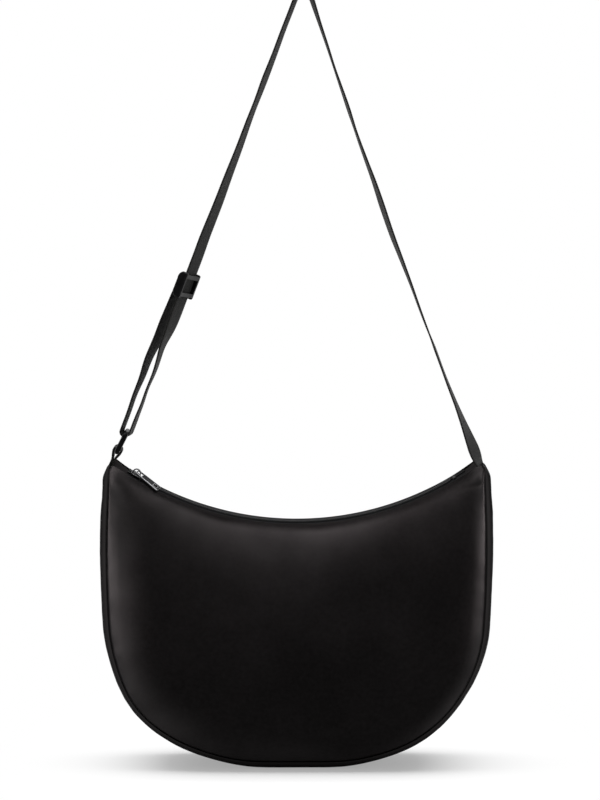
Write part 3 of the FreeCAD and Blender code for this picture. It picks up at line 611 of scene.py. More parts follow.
@dataclass(frozen=True)
class Webbing:
    """Ribbed webbing or zip tape in a herringbone weave."""

    name: str
    dark: Colour = (0.0050, 0.0049, 0.0046)
    light: Colour = (0.0145, 0.0142, 0.0134)
    roughness: float = 0.62
    pitch: float = 0.0022
    chevron: float = 0.006
    sheen: float = 0.05
    specular: float = 0.07
    yarn_share: float = 0.35
    twill_height: float = 0.5
    yarn_height: float = 0.25
    weave_shade: float = 0.25
    sheen_roughness: float = 0.45
    fuzz_scale: float = 420.0
    bump_depth: float = 0.00025
    bump_strength: float = 0.5

    def material(self) -> Material:
        """Chevron weave on the webbing's own coordinates.

        Returns:
            The material.
        """
        tree = ShaderTree(self.name)
        across, along = tree.axes(tree.uv_place)
        fold = tree.calc("PINGPONG", across, self.chevron)
        slope = tree.calc("ADD", along, fold)
        twill = tree.calc("SINE", tree.calc("MULTIPLY", slope, 2 * math.pi / self.pitch))
        yarn = tree.calc("SINE", tree.calc(
            "MULTIPLY", across, 2 * math.pi / (self.pitch * self.yarn_share)))
        fuzz = tree.noise(tree.object_place, self.fuzz_scale, 3.0)
        weave = tree.calc("ADD", tree.calc("MULTIPLY", twill, self.twill_height),
                          tree.calc("MULTIPLY", yarn, self.yarn_height))
        height = tree.calc("ADD", weave, fuzz)
        shade = tree.calc("MULTIPLY_ADD", weave, self.weave_shade, fuzz)
        return tree.finish(
            Base_Color=tree.mix(tree.spread(shade, 0.0, 1.0), self.dark, self.light),
            Roughness=tree.rough(fuzz, self.roughness),
            Normal=tree.bump(height, self.bump_depth, self.bump_strength),
            Sheen_Weight=self.sheen, Sheen_Roughness=self.sheen_roughness,
            Specular_IOR_Level=self.specular, IOR=PLASTIC_IOR)


@dataclass(frozen=True)
class Gunmetal:
    """Dark plated metal, brighter where its edges are rubbed."""

    name: str
    dark: Colour = (0.008, 0.008, 0.0084)
    light: Colour = (0.016, 0.016, 0.0168)
    worn: Colour = (0.30, 0.30, 0.31)
    roughness: float = 0.34
    cloud_scale: float = 180.0
    grain_scale: float = 1400.0
    rub_spread: Range = (0.35, 1.0)
    grain_share: float = 0.4
    cloud_share: float = 0.6
    bump_depth: float = 0.00004
    bump_strength: float = 0.25

    def material(self) -> Material:
        """Metal whose edge attribute shows the rubbed plating.

        Returns:
            The material.
        """
        tree = ShaderTree(self.name)
        cloud = tree.noise(tree.object_place, self.cloud_scale, 4.0)
        grain = tree.noise(tree.object_place, self.grain_scale, 2.0)
        rubbed = tree.calc("MULTIPLY", tree.attribute("edge"), tree.spread(cloud, *self.rub_spread))
        plated = tree.mix(tree.spread(cloud, 0.0, 1.0), self.dark, self.light)
        return tree.finish(
            Base_Color=tree.mix(rubbed, plated, self.worn), Metallic=1.0,
            Roughness=tree.rough(tree.calc("MULTIPLY_ADD", grain, self.grain_share, tree.calc(
                "MULTIPLY", cloud, self.cloud_share)), self.roughness),
            Normal=tree.bump(grain, self.bump_depth, self.bump_strength), Specular_IOR_Level=0.5)


@dataclass(frozen=True)
class Moulded:
    """Black moulded plastic or thread with a faint grain."""

    name: str
    dark: Colour = (0.006, 0.006, 0.0065)
    light: Colour = (0.014, 0.014, 0.015)
    roughness: float = 0.38
    specular: float = 0.14
    grain_scale: float = 900.0
    bump_depth: float = 0.00005
    bump_strength: float = 0.3

    def material(self) -> Material:
        """Fine-grained dark material.

        Returns:
            The material.
        """
        tree = ShaderTree(self.name)
        grain = tree.noise(tree.object_place, self.grain_scale, 3.0)
        return tree.finish(
            Base_Color=tree.mix(tree.spread(grain, 0.0, 1.0), self.dark, self.light),
            Roughness=tree.rough(grain, self.roughness),
            Normal=tree.bump(grain, self.bump_depth, self.bump_strength),
            Specular_IOR_Level=self.specular, IOR=PLASTIC_IOR)


@dataclass(frozen=True)
class Finishes:
    """Every material of the bag, made once."""

    shell: Material = field(default_factory=Nylon("shell_nylon").material)
    lining: Material = field(default_factory=Nylon(
        "lining_cloth", (0.010, 0.010, 0.011), (0.018, 0.018, 0.019), 0.6, 0.0006, 0.1).material)
    tape: Material = field(default_factory=Webbing(
        "zip_tape", (0.003, 0.003, 0.0032), (0.008, 0.008, 0.0085), 0.7, 0.0009, 0.0012, 0.0,
        0.05).material)
    webbing: Material = field(default_factory=Webbing("strap_webbing").material)
    metal: Material = field(default_factory=Gunmetal("gunmetal").material)
    black_metal: Material = field(default_factory=Gunmetal(
        "black_metal", (0.0035, 0.0035, 0.0037), (0.007, 0.007, 0.0074), (0.014, 0.014, 0.0146),
        0.4).material)
    teeth: Material = field(default_factory=Moulded("zip_teeth").material)
    thread: Material = field(default_factory=Moulded(
        "thread", (0.003, 0.003, 0.0032), (0.007, 0.007, 0.0075), 0.55, 0.05).material)


# Repeats.


class Repeater:
    """Geometry Nodes tree that sets copies of a unit on points with given axes."""

    def __init__(self) -> None:
        """Builds the tree with its named inputs."""
        tree = bpy.data.node_groups.new("RepeatOnPoints", "GeometryNodeTree")
        self.tree = tree
        for name, kind in (("Points", "NodeSocketGeometry"), ("Unit", "NodeSocketObject"),
                           ("Material", "NodeSocketMaterial")):
            tree.interface.new_socket(name, in_out="INPUT", socket_type=kind)
        tree.interface.new_socket("Copies", in_out="OUTPUT", socket_type="NodeSocketGeometry")
        make, join = tree.nodes.new, tree.links.new
        source, target = make("NodeGroupInput"), make("NodeGroupOutput")
        info = make("GeometryNodeObjectInfo")
        join(source.outputs["Unit"], info.inputs["Object"])
        turn = make("FunctionNodeAxesToRotation")
        turn.primary_axis, turn.secondary_axis = "X", "Z"
        for name, socket in (("along", "Primary Axis"), ("up", "Secondary Axis")):
            read = make("GeometryNodeInputNamedAttribute")
            read.data_type = "FLOAT_VECTOR"
            read.inputs["Name"].default_value = name
            join(read.outputs["Attribute"], turn.inputs[socket])
        to_points = make("GeometryNodeMeshToPoints")
        join(source.outputs["Points"], to_points.inputs["Mesh"])
        copies = make("GeometryNodeInstanceOnPoints")
        join(to_points.outputs["Points"], copies.inputs["Points"])
        join(info.outputs["Geometry"], copies.inputs["Instance"])
        join(turn.outputs["Rotation"], copies.inputs["Rotation"])
        real = make("GeometryNodeRealizeInstances")
        join(copies.outputs["Instances"], real.inputs["Geometry"])
        paint = make("GeometryNodeSetMaterial")
        join(real.outputs["Geometry"], paint.inputs["Geometry"])
        join(source.outputs["Material"], paint.inputs["Material"])
        join(paint.outputs["Geometry"], target.inputs["Copies"])

    def spread(self, name: str, unit_mesh: Mesh, points: Array, along: Array, up: Array,
               material: Material) -> Object:
        """One mesh of copies.

        Args:
            name: piece name.
            unit_mesh: mesh of one copy, in metres, its length on x and its top on z.
            points: places in the bag's frame, millimetres.
            along: direction of x at each place.
            up: direction of z at each place.
            material: finish of the copies.

        Returns:
            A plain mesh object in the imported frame.
        """
        mesh = bpy.data.meshes.new(name + "_points")
        mesh.from_pydata(to_world(points).tolist(), [], [])
        for key, vectors in (("along", along), ("up", up)):
            mesh.attributes.new(key, "FLOAT_VECTOR", "POINT").data.foreach_set(
                "vector", np.ascontiguousarray(vectors, np.float32).ravel())
        holder, unit_obj = link_mesh(name + "_points", mesh), link_mesh(name + "_unit", unit_mesh)
        modifier = holder.modifiers.new("Repeat", "NODES")
        modifier.node_group = self.tree
        values = {"Unit": unit_obj, "Material": material}
        for item in self.tree.interface.items_tree:
            if item.name in values:
                modifier[item.identifier] = values[item.name]
        holder.update_tag()
        graph = bpy.context.evaluated_depsgraph_get()
        plain = bpy.data.meshes.new_from_object(holder.evaluated_get(graph))
        for helper in (holder, unit_obj):
            bpy.data.objects.remove(helper)
        plain.name = name
        plain.shade_smooth()
        return link_mesh(name, plain)


def stitch_unit(length: float = 2.1, width: float = 0.5, height: float = 0.34) -> Mesh:
    """Rounded stitch lying on x, in metres.

    Args:
        length: length in millimetres.
        width: width in millimetres.
        height: height in millimetres.

    Returns:
        The mesh.
    """
    maker = bmesh.new()
    bmesh.ops.create_uvsphere(maker, u_segments=8, v_segments=5, radius=0.5)
    for vert in maker.verts:
        x, y, z = vert.co.z, vert.co.y, -vert.co.x
        vert.co = Vector((x * length, y * width, z * height)) * MM
    mesh = bpy.data.meshes.new("stitch")
    maker.to_mesh(mesh)
    maker.free()
    return mesh


# The bag's form.


@dataclass(frozen=True)
class BagForm:
    """Outline, depth and zip line of the bag, in the bag's frame."""

    half_width: float = 190.4
    half_base: float = 42.0
    lift: float = 8.0
    widest_height: float = 223.5
    side_radius: float = 1235.0
    peak_radius: float = 5.0
    zip_low: float = 247.0
    zip_radius: float = 305.0
    zip_tilt: float = math.radians(14.0)
    gusset_half: float = 42.0
    full_half: float = 52.0
    full_height: float = 100.0
    mouth_half: float = 7.0
    mouth_end: float = 18.0
    shoulder: float = 55.0
    tip_share: float = 0.36
    corner_share: float = 0.55
    mouth_power: int = 12
    low_points: int = 160
    corner_points: int = 120
    side_points: int = 160
    peak_points: int = 60
    tip_points: int = 40
    zip_points: int = 240
    across_pull: float = 0.72
    down_pull: float = 0.78

    @property
    def zip_centre(self) -> Array:
        """Centre of the zip's arc in the xz plane."""
        return np.array([0.0, self.zip_low + self.zip_radius])

    def edge_drop(self, side: Side) -> float:
        """How far a panel's edge lies below the zip line, as the mouth tilts to the front."""
        return -side.value * self.mouth_half * math.sin(self.zip_tilt)

    def zip_height(self, x: Array, drop: float = 0.0) -> Array:
        """Height of the zip line, or of an edge a little below it."""
        return self.zip_centre[1] - np.sqrt((self.zip_radius + drop) ** 2
                                            - np.asarray(x, float) ** 2)

    def mouth(self, x: Array) -> Array:
        """Half of the mouth's width at the zip."""
        share = np.abs(np.asarray(x, float)) / self.half_width
        return self.mouth_half + (self.mouth_end - self.mouth_half) * share ** self.mouth_power

    def half_depth(self, x: Array, z: Array, drop: float = 0.0) -> Array:
        """Half of the bag's depth at a place of the panels.

        Args:
            x: place across.
            z: height.
            drop: how far the mouth's edge lies below the zip line.

        Returns:
            The half depth.
        """
        over = (z - self.full_height) / (self.full_height - self.lift)
        wide = self.gusset_half + (self.full_half - self.gusset_half) \
            * (1 - (x / self.half_width) ** 2) * (1 - over ** 2)
        edge = self.mouth(x)
        below = np.maximum(self.zip_height(x, drop) - z, 0.0)
        return edge + (wide - edge) * (1 - np.exp(-below / self.shoulder))

    def right_half(self, drop: float = 0.0) -> dict[str, Array]:
        """Runs of the right half of the seam line, from the middle of the base to the zip.

        Args:
            drop: how far the mouth's edge lies below the zip line.

        Returns:
            Points of the low run (base and half of the corner), the side run (to the tip), the
            tip run (from the tip to the mouth) and the mouth's edge.
        """
        side = np.array([self.half_width - self.side_radius, self.widest_height])
        across, up = self.half_base - side[0], self.lift - side[1]
        corner_radius = (self.side_radius ** 2 - across ** 2 - up ** 2) \
            / (2 * (self.side_radius + up))
        corner = np.array([self.half_base, self.lift + corner_radius])
        tilt = math.atan2(side[1] - corner[1], corner[0] - side[0])
        zip_radius = self.zip_radius + drop
        first, second = self.side_radius - self.peak_radius, zip_radius + self.peak_radius
        gap = self.zip_centre - side
        apart = float(np.hypot(*gap))
        part = (first ** 2 - second ** 2 + apart ** 2) / (2 * apart)
        off = math.sqrt(first ** 2 - part ** 2)
        peak = side + gap * part / apart + np.array([gap[1], -gap[0]]) * off / apart
        side_end = math.atan2(*(peak - side)[::-1])
        zip_end = math.atan2(*(peak - self.zip_centre)[::-1])
        span = zip_end + math.pi - side_end

        def arc(centre: Array, radius: float, start: float, end: float, count: int) -> Array:
            """Points on an arc from one angle to another."""
            angle = np.linspace(start, end, count)[:, None]
            return centre + radius * np.hstack([np.cos(angle), np.sin(angle)])

        half_turn = -math.pi / 2 + (math.pi / 2 - tilt) * self.corner_share
        tip = side_end + span * self.tip_share
        return {
            "low": np.vstack([[[0.0, self.lift]], arc(corner, corner_radius, -math.pi / 2,
                                                      half_turn, self.low_points)]),
            "side": np.vstack([arc(corner, corner_radius, half_turn, -tilt, self.corner_points),
                               arc(side, self.side_radius, -tilt, side_end, self.side_points)[1:],
                               arc(peak, self.peak_radius, side_end, tip, self.peak_points)[1:]]),
            "tip": arc(peak, self.peak_radius, tip, side_end + span, self.tip_points),
            "zip": arc(self.zip_centre, zip_radius, zip_end, -math.pi / 2, self.zip_points),
        }

    def seam_line(self, count: int, drop: float = 0.0) -> tuple[Array, Array]:
        """Seam between panel and gusset, from the left tip round the base to the right tip.

        Args:
            count: number of places.
            drop: how far the mouth's edge lies below the zip line.

        Returns:
            Points and outward directions in the xz plane.
        """
        runs = self.right_half(drop)
        right = np.vstack([runs["low"], runs["side"][1:]])
        whole = np.vstack([right[::-1] * [-1, 1], right[1:]])
        points = along_line(whole, np.linspace(0, 1, count))
        step = unit(np.gradient(points, axis=0))
        return points, np.stack([step[:, 1], -step[:, 0]], 1)

    def patch(self, rows: int, columns: int, drop: float) -> Array:
        """Grid of xz places over one panel, top row at the zip, columns left to right.

        Args:
            rows: number of rows.
            columns: number of columns.
            drop: how far the mouth's edge lies below the zip line.

        Returns:
            rows by columns by 2 places.
        """
        runs = self.right_half(drop)
        u, v = clustered(columns, self.across_pull), clustered(rows, self.down_pull)
        top_right = np.vstack([runs["tip"], runs["zip"][1:]])
        top = along_line(np.vstack([top_right * [-1, 1], top_right[::-1][1:]]), u)
        low = along_line(np.vstack([runs["low"][::-1] * [-1, 1], runs["low"][1:]]), u)
        right = along_line(runs["side"][::-1], v)
        left = right * [-1, 1]
        u, v = u[None, :, None], v[:, None, None]
        ruled = (1 - v) * top[None] + v * low[None] + (1 - u) * left[:, None] + u * right[:, None]
        corners = (1 - u) * (1 - v) * top[0] + u * (1 - v) * top[-1] \
            + (1 - u) * v * low[0] + u * v * low[-1]
        return ruled - corners


@dataclass(frozen=True)
class Fold:
    """Soft ridge or valley that runs out of a top corner.

    Args:
        angle: degrees below the horizontal, towards the middle of the bag.
        width: half-width where the fold is deepest.
        height: height of the ridge, negative for a valley.
        reach: length over which it fades.
        start_share: share of the width that it has at the corner.
        fan: how many times its reach it takes to widen by its own width.
        fade_power: how suddenly it fades.
        corner_range: distances from the corner over which it rises.
    """

    angle: float
    width: float
    height: float
    reach: float
    start_share: float = 0.6
    fan: float = 1.6
    fade_power: float = 1.4
    corner_range: Range = (2.0, 16.0)

    def at(self, inward: Array, down: Array, bend: Array) -> Array:
        """Height of the fold at places inward of its corner and below it.

        Args:
            inward: distances inward of the corner.
            down: distances below it.
            bend: how far the fold bends sideways there.

        Returns:
            Heights.
        """
        angle, away = math.radians(self.angle), np.hypot(inward, down)
        across = inward * math.sin(angle) - down * math.cos(angle) + bend
        spread = self.width * (self.start_share + away / (self.fan * self.reach))
        return self.height * np.exp(-(across / spread) ** 2) \
            * np.exp(-(away / self.reach) ** self.fade_power) * smoothstep(*self.corner_range, away)


FOLDS = {
    End.LEFT: (Fold(58, 8.0, -2.0, 58), Fold(40, 9.0, 1.0, 60), Fold(26, 8.0, -0.7, 60)),
    End.RIGHT: (Fold(80, 4.5, -0.6, 50), Fold(56, 9.0, 0.7, 54), Fold(36, 7.0, -1.0, 48),
                Fold(20, 7.0, 0.8, 56)),
}


@dataclass(frozen=True)
class Places:
    """Places on a panel or along its seam.

    Args:
        x: places across.
        z: heights.
        below: distances below the mouth.
        seam: distances from the seam.
        run: lengths along the seam at its nearest places.
    """

    x: Array
    z: Array
    below: Array
    seam: Array
    run: Array


def sided(left: float, right: float, x: Array) -> Array:
    """Value that passes from the left half's to the right half's across the middle."""
    return left + (right - left) * smoothstep(*MIDDLE_RANGE, x)


def lessened(share: float, z: Array) -> Array:
    """Factor of 1 on the sides that falls to a share at the base."""
    return share + (1 - share) * smoothstep(*BASE_RANGE, z)


@dataclass(frozen=True)
class Rub:
    """Painted highlight: paler, glossier cloth along the rolled sides and below the mouth."""

    left: float = 21.0
    right: float = 10.0
    base_share: float = 0.25
    seam_range: Range = (0.8, 3.2)
    top: float = 0.75
    drop: float = 27.0
    mouth_range: Range = (2.0, 9.0)
    corner_range: Range = (0.0, 30.0)
    right_loss: float = 0.55
    loss_range: Range = (30.0, 110.0)
    mean: float = 0.9
    clouds: tuple[Wave, Wave] = (Wave(0.5, 60.0), Wave(0.3, 24.0))
    fold_shade: float = 0.42
    shade_range: Range = (0.2, 1.25)
    strip: float = 0.9
    strip_range: Range = (0.4, 0.8)
    strip_rise: Range = (-40.0, 110.0)

    def on_panel(self, at: Places, folds: Array) -> Array:
        """Painted sheen on a panel, less in the valleys of its folds by painted shade.

        Args:
            at: places on the panel.
            folds: heights of the folds.

        Returns:
            Values from 0 to 1.25.
        """
        # Painted sheen along the rolled sides, wider on the left, and in a band below the mouth,
        # weaker on the right.
        edge = np.exp(-(at.seam / sided(self.left, self.right, at.x)) ** 2)
        edge = edge * lessened(self.base_share, at.z) * smoothstep(*self.seam_range, at.seam)
        top = self.top * np.exp(-at.below / self.drop) * smoothstep(*self.mouth_range, at.below)
        top = top * (1 - self.right_loss * smoothstep(*self.loss_range, at.x))
        top = top * smoothstep(*self.corner_range, at.seam)
        broad, fine = self.clouds
        soft = self.mean + broad.at(SmoothNoise(Seed.RUB), at.x, at.z)
        soft = soft + fine.at(SmoothNoise(Seed.RUB_FINE), at.x, at.z)
        # Painted shade: less sheen in the valleys of the folds, more on their ridges.
        shade = np.clip(1 + self.fold_shade * folds, *self.shade_range)
        return np.clip((edge + top) * soft, 0, 1) * shade

    def on_gusset(self, grid: Array) -> Array:
        """Painted sheen on the gusset, highest beside its seams and higher up.

        Args:
            grid: points of the gusset.

        Returns:
            Values from 0 to 1.
        """
        place = np.abs(np.linspace(-1, 1, grid.shape[1]))[None].repeat(grid.shape[0], 0)
        return self.strip * smoothstep(*self.strip_range, place) \
            * smoothstep(*self.strip_rise, grid[..., 2])


@dataclass(frozen=True)
class Roll:
    """How the cloth falls back towards its seam, more sharply on the right."""

    edge: float = 3.2
    edge_reach: float = 15.0
    side: float = 6.4
    left_reach: float = 52.0
    right_reach: float = 30.0
    base_share: float = 0.4
    mouth_range: Range = (0.0, 45.0)

    def loss(self, at: Places) -> Array:
        """Depth lost on one side of the bag.

        Args:
            at: places on a panel.

        Returns:
            The lost depths.
        """
        edge = self.edge * np.clip(1 - at.seam / self.edge_reach, 0, 1) ** 2
        reach = sided(self.left_reach, self.right_reach, at.x)
        side = self.side * np.clip(1 - at.seam / reach, 0, 1) ** 2
        side = side * lessened(self.base_share, at.z)
        return (edge + side) * smoothstep(*self.mouth_range, at.below)


@dataclass(frozen=True)
class Slump:
    """How the base's ends are eased up and the lower left corner is let out."""

    ease: float = 4.5
    ease_range: Range = (25.0, 105.0)
    ease_height: float = 22.0
    left: float = 5.0
    left_range: Range = (50.0, 170.0)
    left_height: float = 55.0
    left_spread: float = 38.0

    def moved(self, grid: Array) -> Array:
        """Cloth points with the slump.

        Args:
            grid: points of a cloth.

        Returns:
            The moved points.
        """
        x, z = grid[..., 0], grid[..., 2]
        ease = smoothstep(*self.ease_range, np.abs(x)) * np.exp(-z / self.ease_height)
        hang = np.exp(-((z - self.left_height) / self.left_spread) ** 2)
        moved = grid.copy()
        moved[..., 2] += self.ease * ease
        moved[..., 0] -= self.left * smoothstep(*self.left_range, -x) * hang
        return moved


@dataclass(frozen=True)
class Creasing:
    """Soft dents, corner folds, seam puckers and mouth ripples of the panels."""

    form: BagForm
    dent_range: Range = (2.0, 38.0)
    dents: tuple[Wave, Wave, Wave] = (Wave(2.8, 125.0), Wave(1.1, 58.0), Wave(0.16, 26.0))
    pucker_range: Range = (0.4, 3.0)
    puckers: tuple[Wave, Wave] = (Wave(1.5, 13.0, 9.0), Wave(0.9, 7.0, 9.0))
    pucker_swell: Wave = Wave(0.5, 70.0)
    pucker_mean: float = 0.55
    fine_stretch: float = 1.3
    seam_stretch: float = 0.4
    broad_stretch: float = 0.3
    mouth_stretch: float = 0.4
    ripple_range: Range = (0.5, 6.0)
    ripples: tuple[Wave, Wave] = (Wave(2.4, 52.0, 42.0), Wave(0.6, 19.0, 11.0))
    fold_range: Range = (0.6, 6.0)
    fold_bend: Wave = Wave(5.0, 48.0)
    tuck: float = 1.5
    tuck_drop: float = 17.0
    tuck_slope: float = 0.3
    tuck_width: float = 2.4
    tuck_reach: float = 10.0

    def offsets(self, side: Side, at: Places) -> Array:
        """Offsets along a panel's outward normal.

        Args:
            side: which panel.
            at: places on the panel.

        Returns:
            The offset of each place.
        """
        noise = SmoothNoise(Seed[side.name])
        x, z, seam, run = at.x, at.z, at.seam, at.run
        centre = self.form.zip_centre
        mouth = np.hypot(x - centre[0], z - centre[1]) - self.form.zip_radius
        mouth = np.maximum(mouth - self.form.edge_drop(side), 0.0)
        # The numbers added to a place only keep the waves apart in the noise.
        broad, middle, fine = self.dents
        dents = broad.at(noise, x + 300, z) + middle.at(noise, x, z + 500)
        dents += fine.at(noise, x * self.fine_stretch, z)
        broad, fine = self.puckers
        inset = seam * self.seam_stretch
        pucker = broad.at(noise, run, inset, seam) + fine.at(noise, run + 90, inset, seam)
        pucker *= self.pucker_mean + self.pucker_swell.at(noise, run + 700, run * 0)
        angle = np.arctan2(x - centre[0], centre[1] - z) * self.form.zip_radius
        broad, fine = self.ripples
        ripple = broad.at(noise, angle, mouth * self.broad_stretch + 50, mouth)
        ripple += fine.at(noise, angle + 400, mouth * self.mouth_stretch, mouth)
        return dents * smoothstep(*self.dent_range, np.minimum(seam, mouth)) \
            + pucker * smoothstep(*self.pucker_range, seam) \
            + ripple * smoothstep(*self.ripple_range, mouth) + self.folds(noise, at)

    def folds(self, noise: SmoothNoise, at: Places) -> Array:
        """Folds that fan out from the two top corners, and the tuck at the right one.

        Args:
            noise: noise that bends the folds.
            at: places on the panel.

        Returns:
            Heights.
        """
        total = np.zeros_like(at.x)
        tip = self.form.right_half()["tip"][0]
        for end, folds in FOLDS.items():
            inward, down = (end.value * tip[0] - at.x) * end.value, tip[1] - at.z
            bend = self.fold_bend.at(noise, inward + 60 * end.value, down)
            for fold in folds:
                total += fold.at(inward, down, bend)
            if end is End.RIGHT:
                off = down - self.tuck_drop - self.tuck_slope * inward
                total -= self.tuck * np.exp(-(off / self.tuck_width) ** 2) \
                    * np.exp(-np.abs(inward) / self.tuck_reach)
        return total * smoothstep(*self.fold_range, at.seam)


@dataclass(frozen=True)
class Strip:
    """Section and softness of the gusset."""

    crown: float = 7.0
    crown_depth: float = 22.0
    crown_range: Range = (-2.0, 16.0)
    crown_power: float = 0.7
    base_range: Range = (0.55, 0.98)
    base_calm: float = 0.85
    side_power: float = 2.6
    base_power: float = 6.0
    rise_power: float = 0.62
    pucker: Wave = Wave(1.5, 12.0, 9.0)
    wave: Wave = Wave(1.6, 70.0)
    seam_range: Range = (0.02, 0.3)
    above_crown: float = 1.2


@dataclass
class Shell:
    """Front and back panels, gusset and linings."""

    form: BagForm
    finishes: Finishes
    repeater: Repeater
    rows: int = 130
    columns: int = 210
    seam_points: int = 2400
    gusset_size: tuple[int, int] = (560, 41)
    gusset_lining_size: tuple[int, int] = (180, 15)
    lining_step: int = 3
    cloth: float = 1.0
    lining: float = 0.6
    lining_gap: float = 1.9
    groove: float = 5.5
    groove_width: float = 1.5
    groove_range: Range = (8.0, 26.0)
    gusset_tuck: float = 1.6
    fullness: float = 9.0
    full_start: float = 14.0
    full_end: float = 80.0
    full_range: Range = (0.0, 48.0)
    zip_stitch: float = 2.4
    stitch_pitch: float = 3.1
    stitched_half: float = 170.0
    stitch_rise: float = 0.05
    stitch_rows: int = 40
    # Where sheen is painted on the cloth.
    rub: Rub = Rub()
    roll: Roll = Roll()
    slump: Slump = Slump()
    strip: Strip = Strip()
    faces: dict[Side, Array] = field(default_factory=dict)
    # Painted sheen of each panel.
    rubs: dict[Side, Array] = field(default_factory=dict)

    def build(self) -> None:
        """Makes every cloth piece of the shell."""
        for side in Side:
            self.faces[side] = self.panel_face(side)
            self.build_panel(side)
            self.build_lining(side)
            self.stitch_mouth(side)
        self.build_gusset()

    def seam_distance(self, places: Array, drop: float) -> tuple[Array, Array]:
        """Distance of panel places from the seam, and the seam length there.

        Args:
            places: rows by columns of xz places.
            drop: how far the panel's mouth edge lies below the zip line.

        Returns:
            Distances and lengths along the seam.
        """
        line, _ = self.form.seam_line(self.seam_points, drop)
        lengths = travelled(line)
        tree = KDTree(len(line))
        for index, (x, z) in enumerate(line):
            tree.insert((x, 0.0, z), index)
        tree.balance()
        found = [tree.find((x, 0.0, z)) for x, z in places.reshape(-1, 2)]
        distance = np.array([hit[2] for hit in found]).reshape(places.shape[:2])
        place = np.array([lengths[hit[1]] for hit in found]).reshape(places.shape[:2])
        return distance, place

    def panel_face(self, side: Side) -> Array:
        """Outer face of one panel with its seam groove, rolled sides and creases.

        Args:
            side: which panel.

        Returns:
            Rows by columns of points.
        """
        drop = self.form.edge_drop(side)
        places = self.form.patch(self.rows, self.columns, drop)
        x, z = places[..., 0], places[..., 1]
        seam, run = self.seam_distance(places, drop)
        below = self.form.zip_height(x, drop) - z
        at = Places(x, z, below, seam, run)
        depth = self.form.half_depth(x, z, drop) - self.roll.loss(at)
        deeper = smoothstep(*self.groove_range, below)
        slit = self.gusset_tuck + (self.groove - self.gusset_tuck) * deeper
        depth = depth - slit * np.exp(-(seam / self.groove_width) ** 2)
        swell = (1 - np.exp(-below / self.full_start)) * np.exp(-below / self.full_end)
        depth = depth + self.fullness * swell * smoothstep(*self.full_range, seam)
        creasing = Creasing(self.form)
        # Painted sheen for the panel, with painted shade in the valleys of the folds.
        self.rubs[side] = self.rub.on_panel(at, creasing.folds(SmoothNoise(Seed.RUB), at))
        grid = np.stack([x, side.value * depth, z], -1)
        offsets = creasing.offsets(side, at)
        return self.slump.moved(grid + outward(grid, side) * offsets[..., None])

    def build_panel(self, side: Side) -> None:
        """Closed cloth of one panel.

        Args:
            side: which panel.
        """
        grid = self.faces[side]
        # The panel carries its painted sheen.
        sew(side.word + "_panel", "cloth", "shell", grid, grid[..., [0, 2]], self.cloth,
            side is Side.FRONT, self.finishes.shell, self.rubs[side])

    def build_lining(self, side: Side) -> None:
        """Thin cloth inside one panel.

        Args:
            side: which panel.
        """
        kept = slice(self.lining_step, -self.lining_step, self.lining_step)
        grid = self.faces[side][kept, kept]
        sew(side.word + "_lining", "cloth", "lining", grid - outward(grid, side) * self.lining_gap,
            grid[..., [0, 2]], self.lining, side is Side.FRONT, self.finishes.lining)

    def gusset_grid(self, inset: float, count: int, across: int) -> tuple[Array, Array]:
        """Grid of the gusset, from the left tip round to the right tip.

        Args:
            inset: distance inside the outer face.
            count: places along the seam.
            across: places from the front seam to the back seam.

        Returns:
            The grid and its cloth coordinates.
        """
        line, out = self.form.seam_line(count)
        run = np.linspace(0, 1, count) * travelled(line)[-1]
        below = self.form.zip_height(line[:, 0]) - line[:, 1]
        depth = self.form.half_depth(line[:, 0], line[:, 1]) - self.gusset_tuck
        depth = depth - self.roll.loss(Places(line[:, 0], line[:, 1], below, np.zeros(count), run))
        form = self.strip
        low = smoothstep(*form.base_range, -out[:, 1])
        crown = form.crown * np.minimum(depth / form.crown_depth, 1.0)
        crown = crown * smoothstep(*form.crown_range,
                                   np.minimum(run, run[-1] - run)) ** form.crown_power
        crown = crown + (self.form.lift - crown) * low
        share = np.sin(np.linspace(-np.pi / 2, np.pi / 2, across))
        power = form.side_power + (form.base_power - form.side_power) * low
        rise = (1 - np.abs(share[None]) ** power[:, None]) ** form.rise_power
        noise = SmoothNoise(Seed.GUSSET)
        s, t = np.meshgrid(run, share, indexing="ij")
        away = (1 - np.abs(t)) * depth[:, None]
        pucker = form.pucker.at(noise, s + 500 * np.sign(t), t * 4, away)
        wave = form.wave.at(noise, s, t * 40 + 90) * (1 - np.exp(-away / form.pucker.fade))
        soft = (pucker + wave) * smoothstep(*form.seam_range, 1 - np.abs(t))
        soft = soft * (1 - form.base_calm * low[:, None])
        lift = crown[:, None] * rise + soft - inset
        lift = np.minimum(lift, crown[:, None] + form.above_crown * (1 - low[:, None]) - inset)
        grid = np.empty((count, across, 3))
        grid[..., 0] = line[:, None, 0] + out[:, None, 0] * lift
        grid[..., 1] = share[None] * depth[:, None]
        grid[..., 2] = line[:, None, 1] + out[:, None, 1] * lift
        return self.slump.moved(grid), np.stack([s, t * depth[:, None]], -1)

    def build_gusset(self) -> None:
        """Closed strip round the base and sides, and its lining."""
        for name, inset, thickness, size, finish, slot in (
                ("gusset", 0.0, self.cloth, self.gusset_size, self.finishes.shell, "shell"),
                ("gusset_lining", self.lining_gap, self.lining, self.gusset_lining_size,
                 self.finishes.lining, "lining")):
            grid, uv = self.gusset_grid(inset, *size)
            if inset:
                grid, uv = grid[2:-2, 1:-1], uv[2:-2, 1:-1]
            # The gusset and its lining both carry painted sheen beside the seams.
            sew(name, "cloth", slot, grid, uv, thickness, False, finish, self.rub.on_gusset(grid))

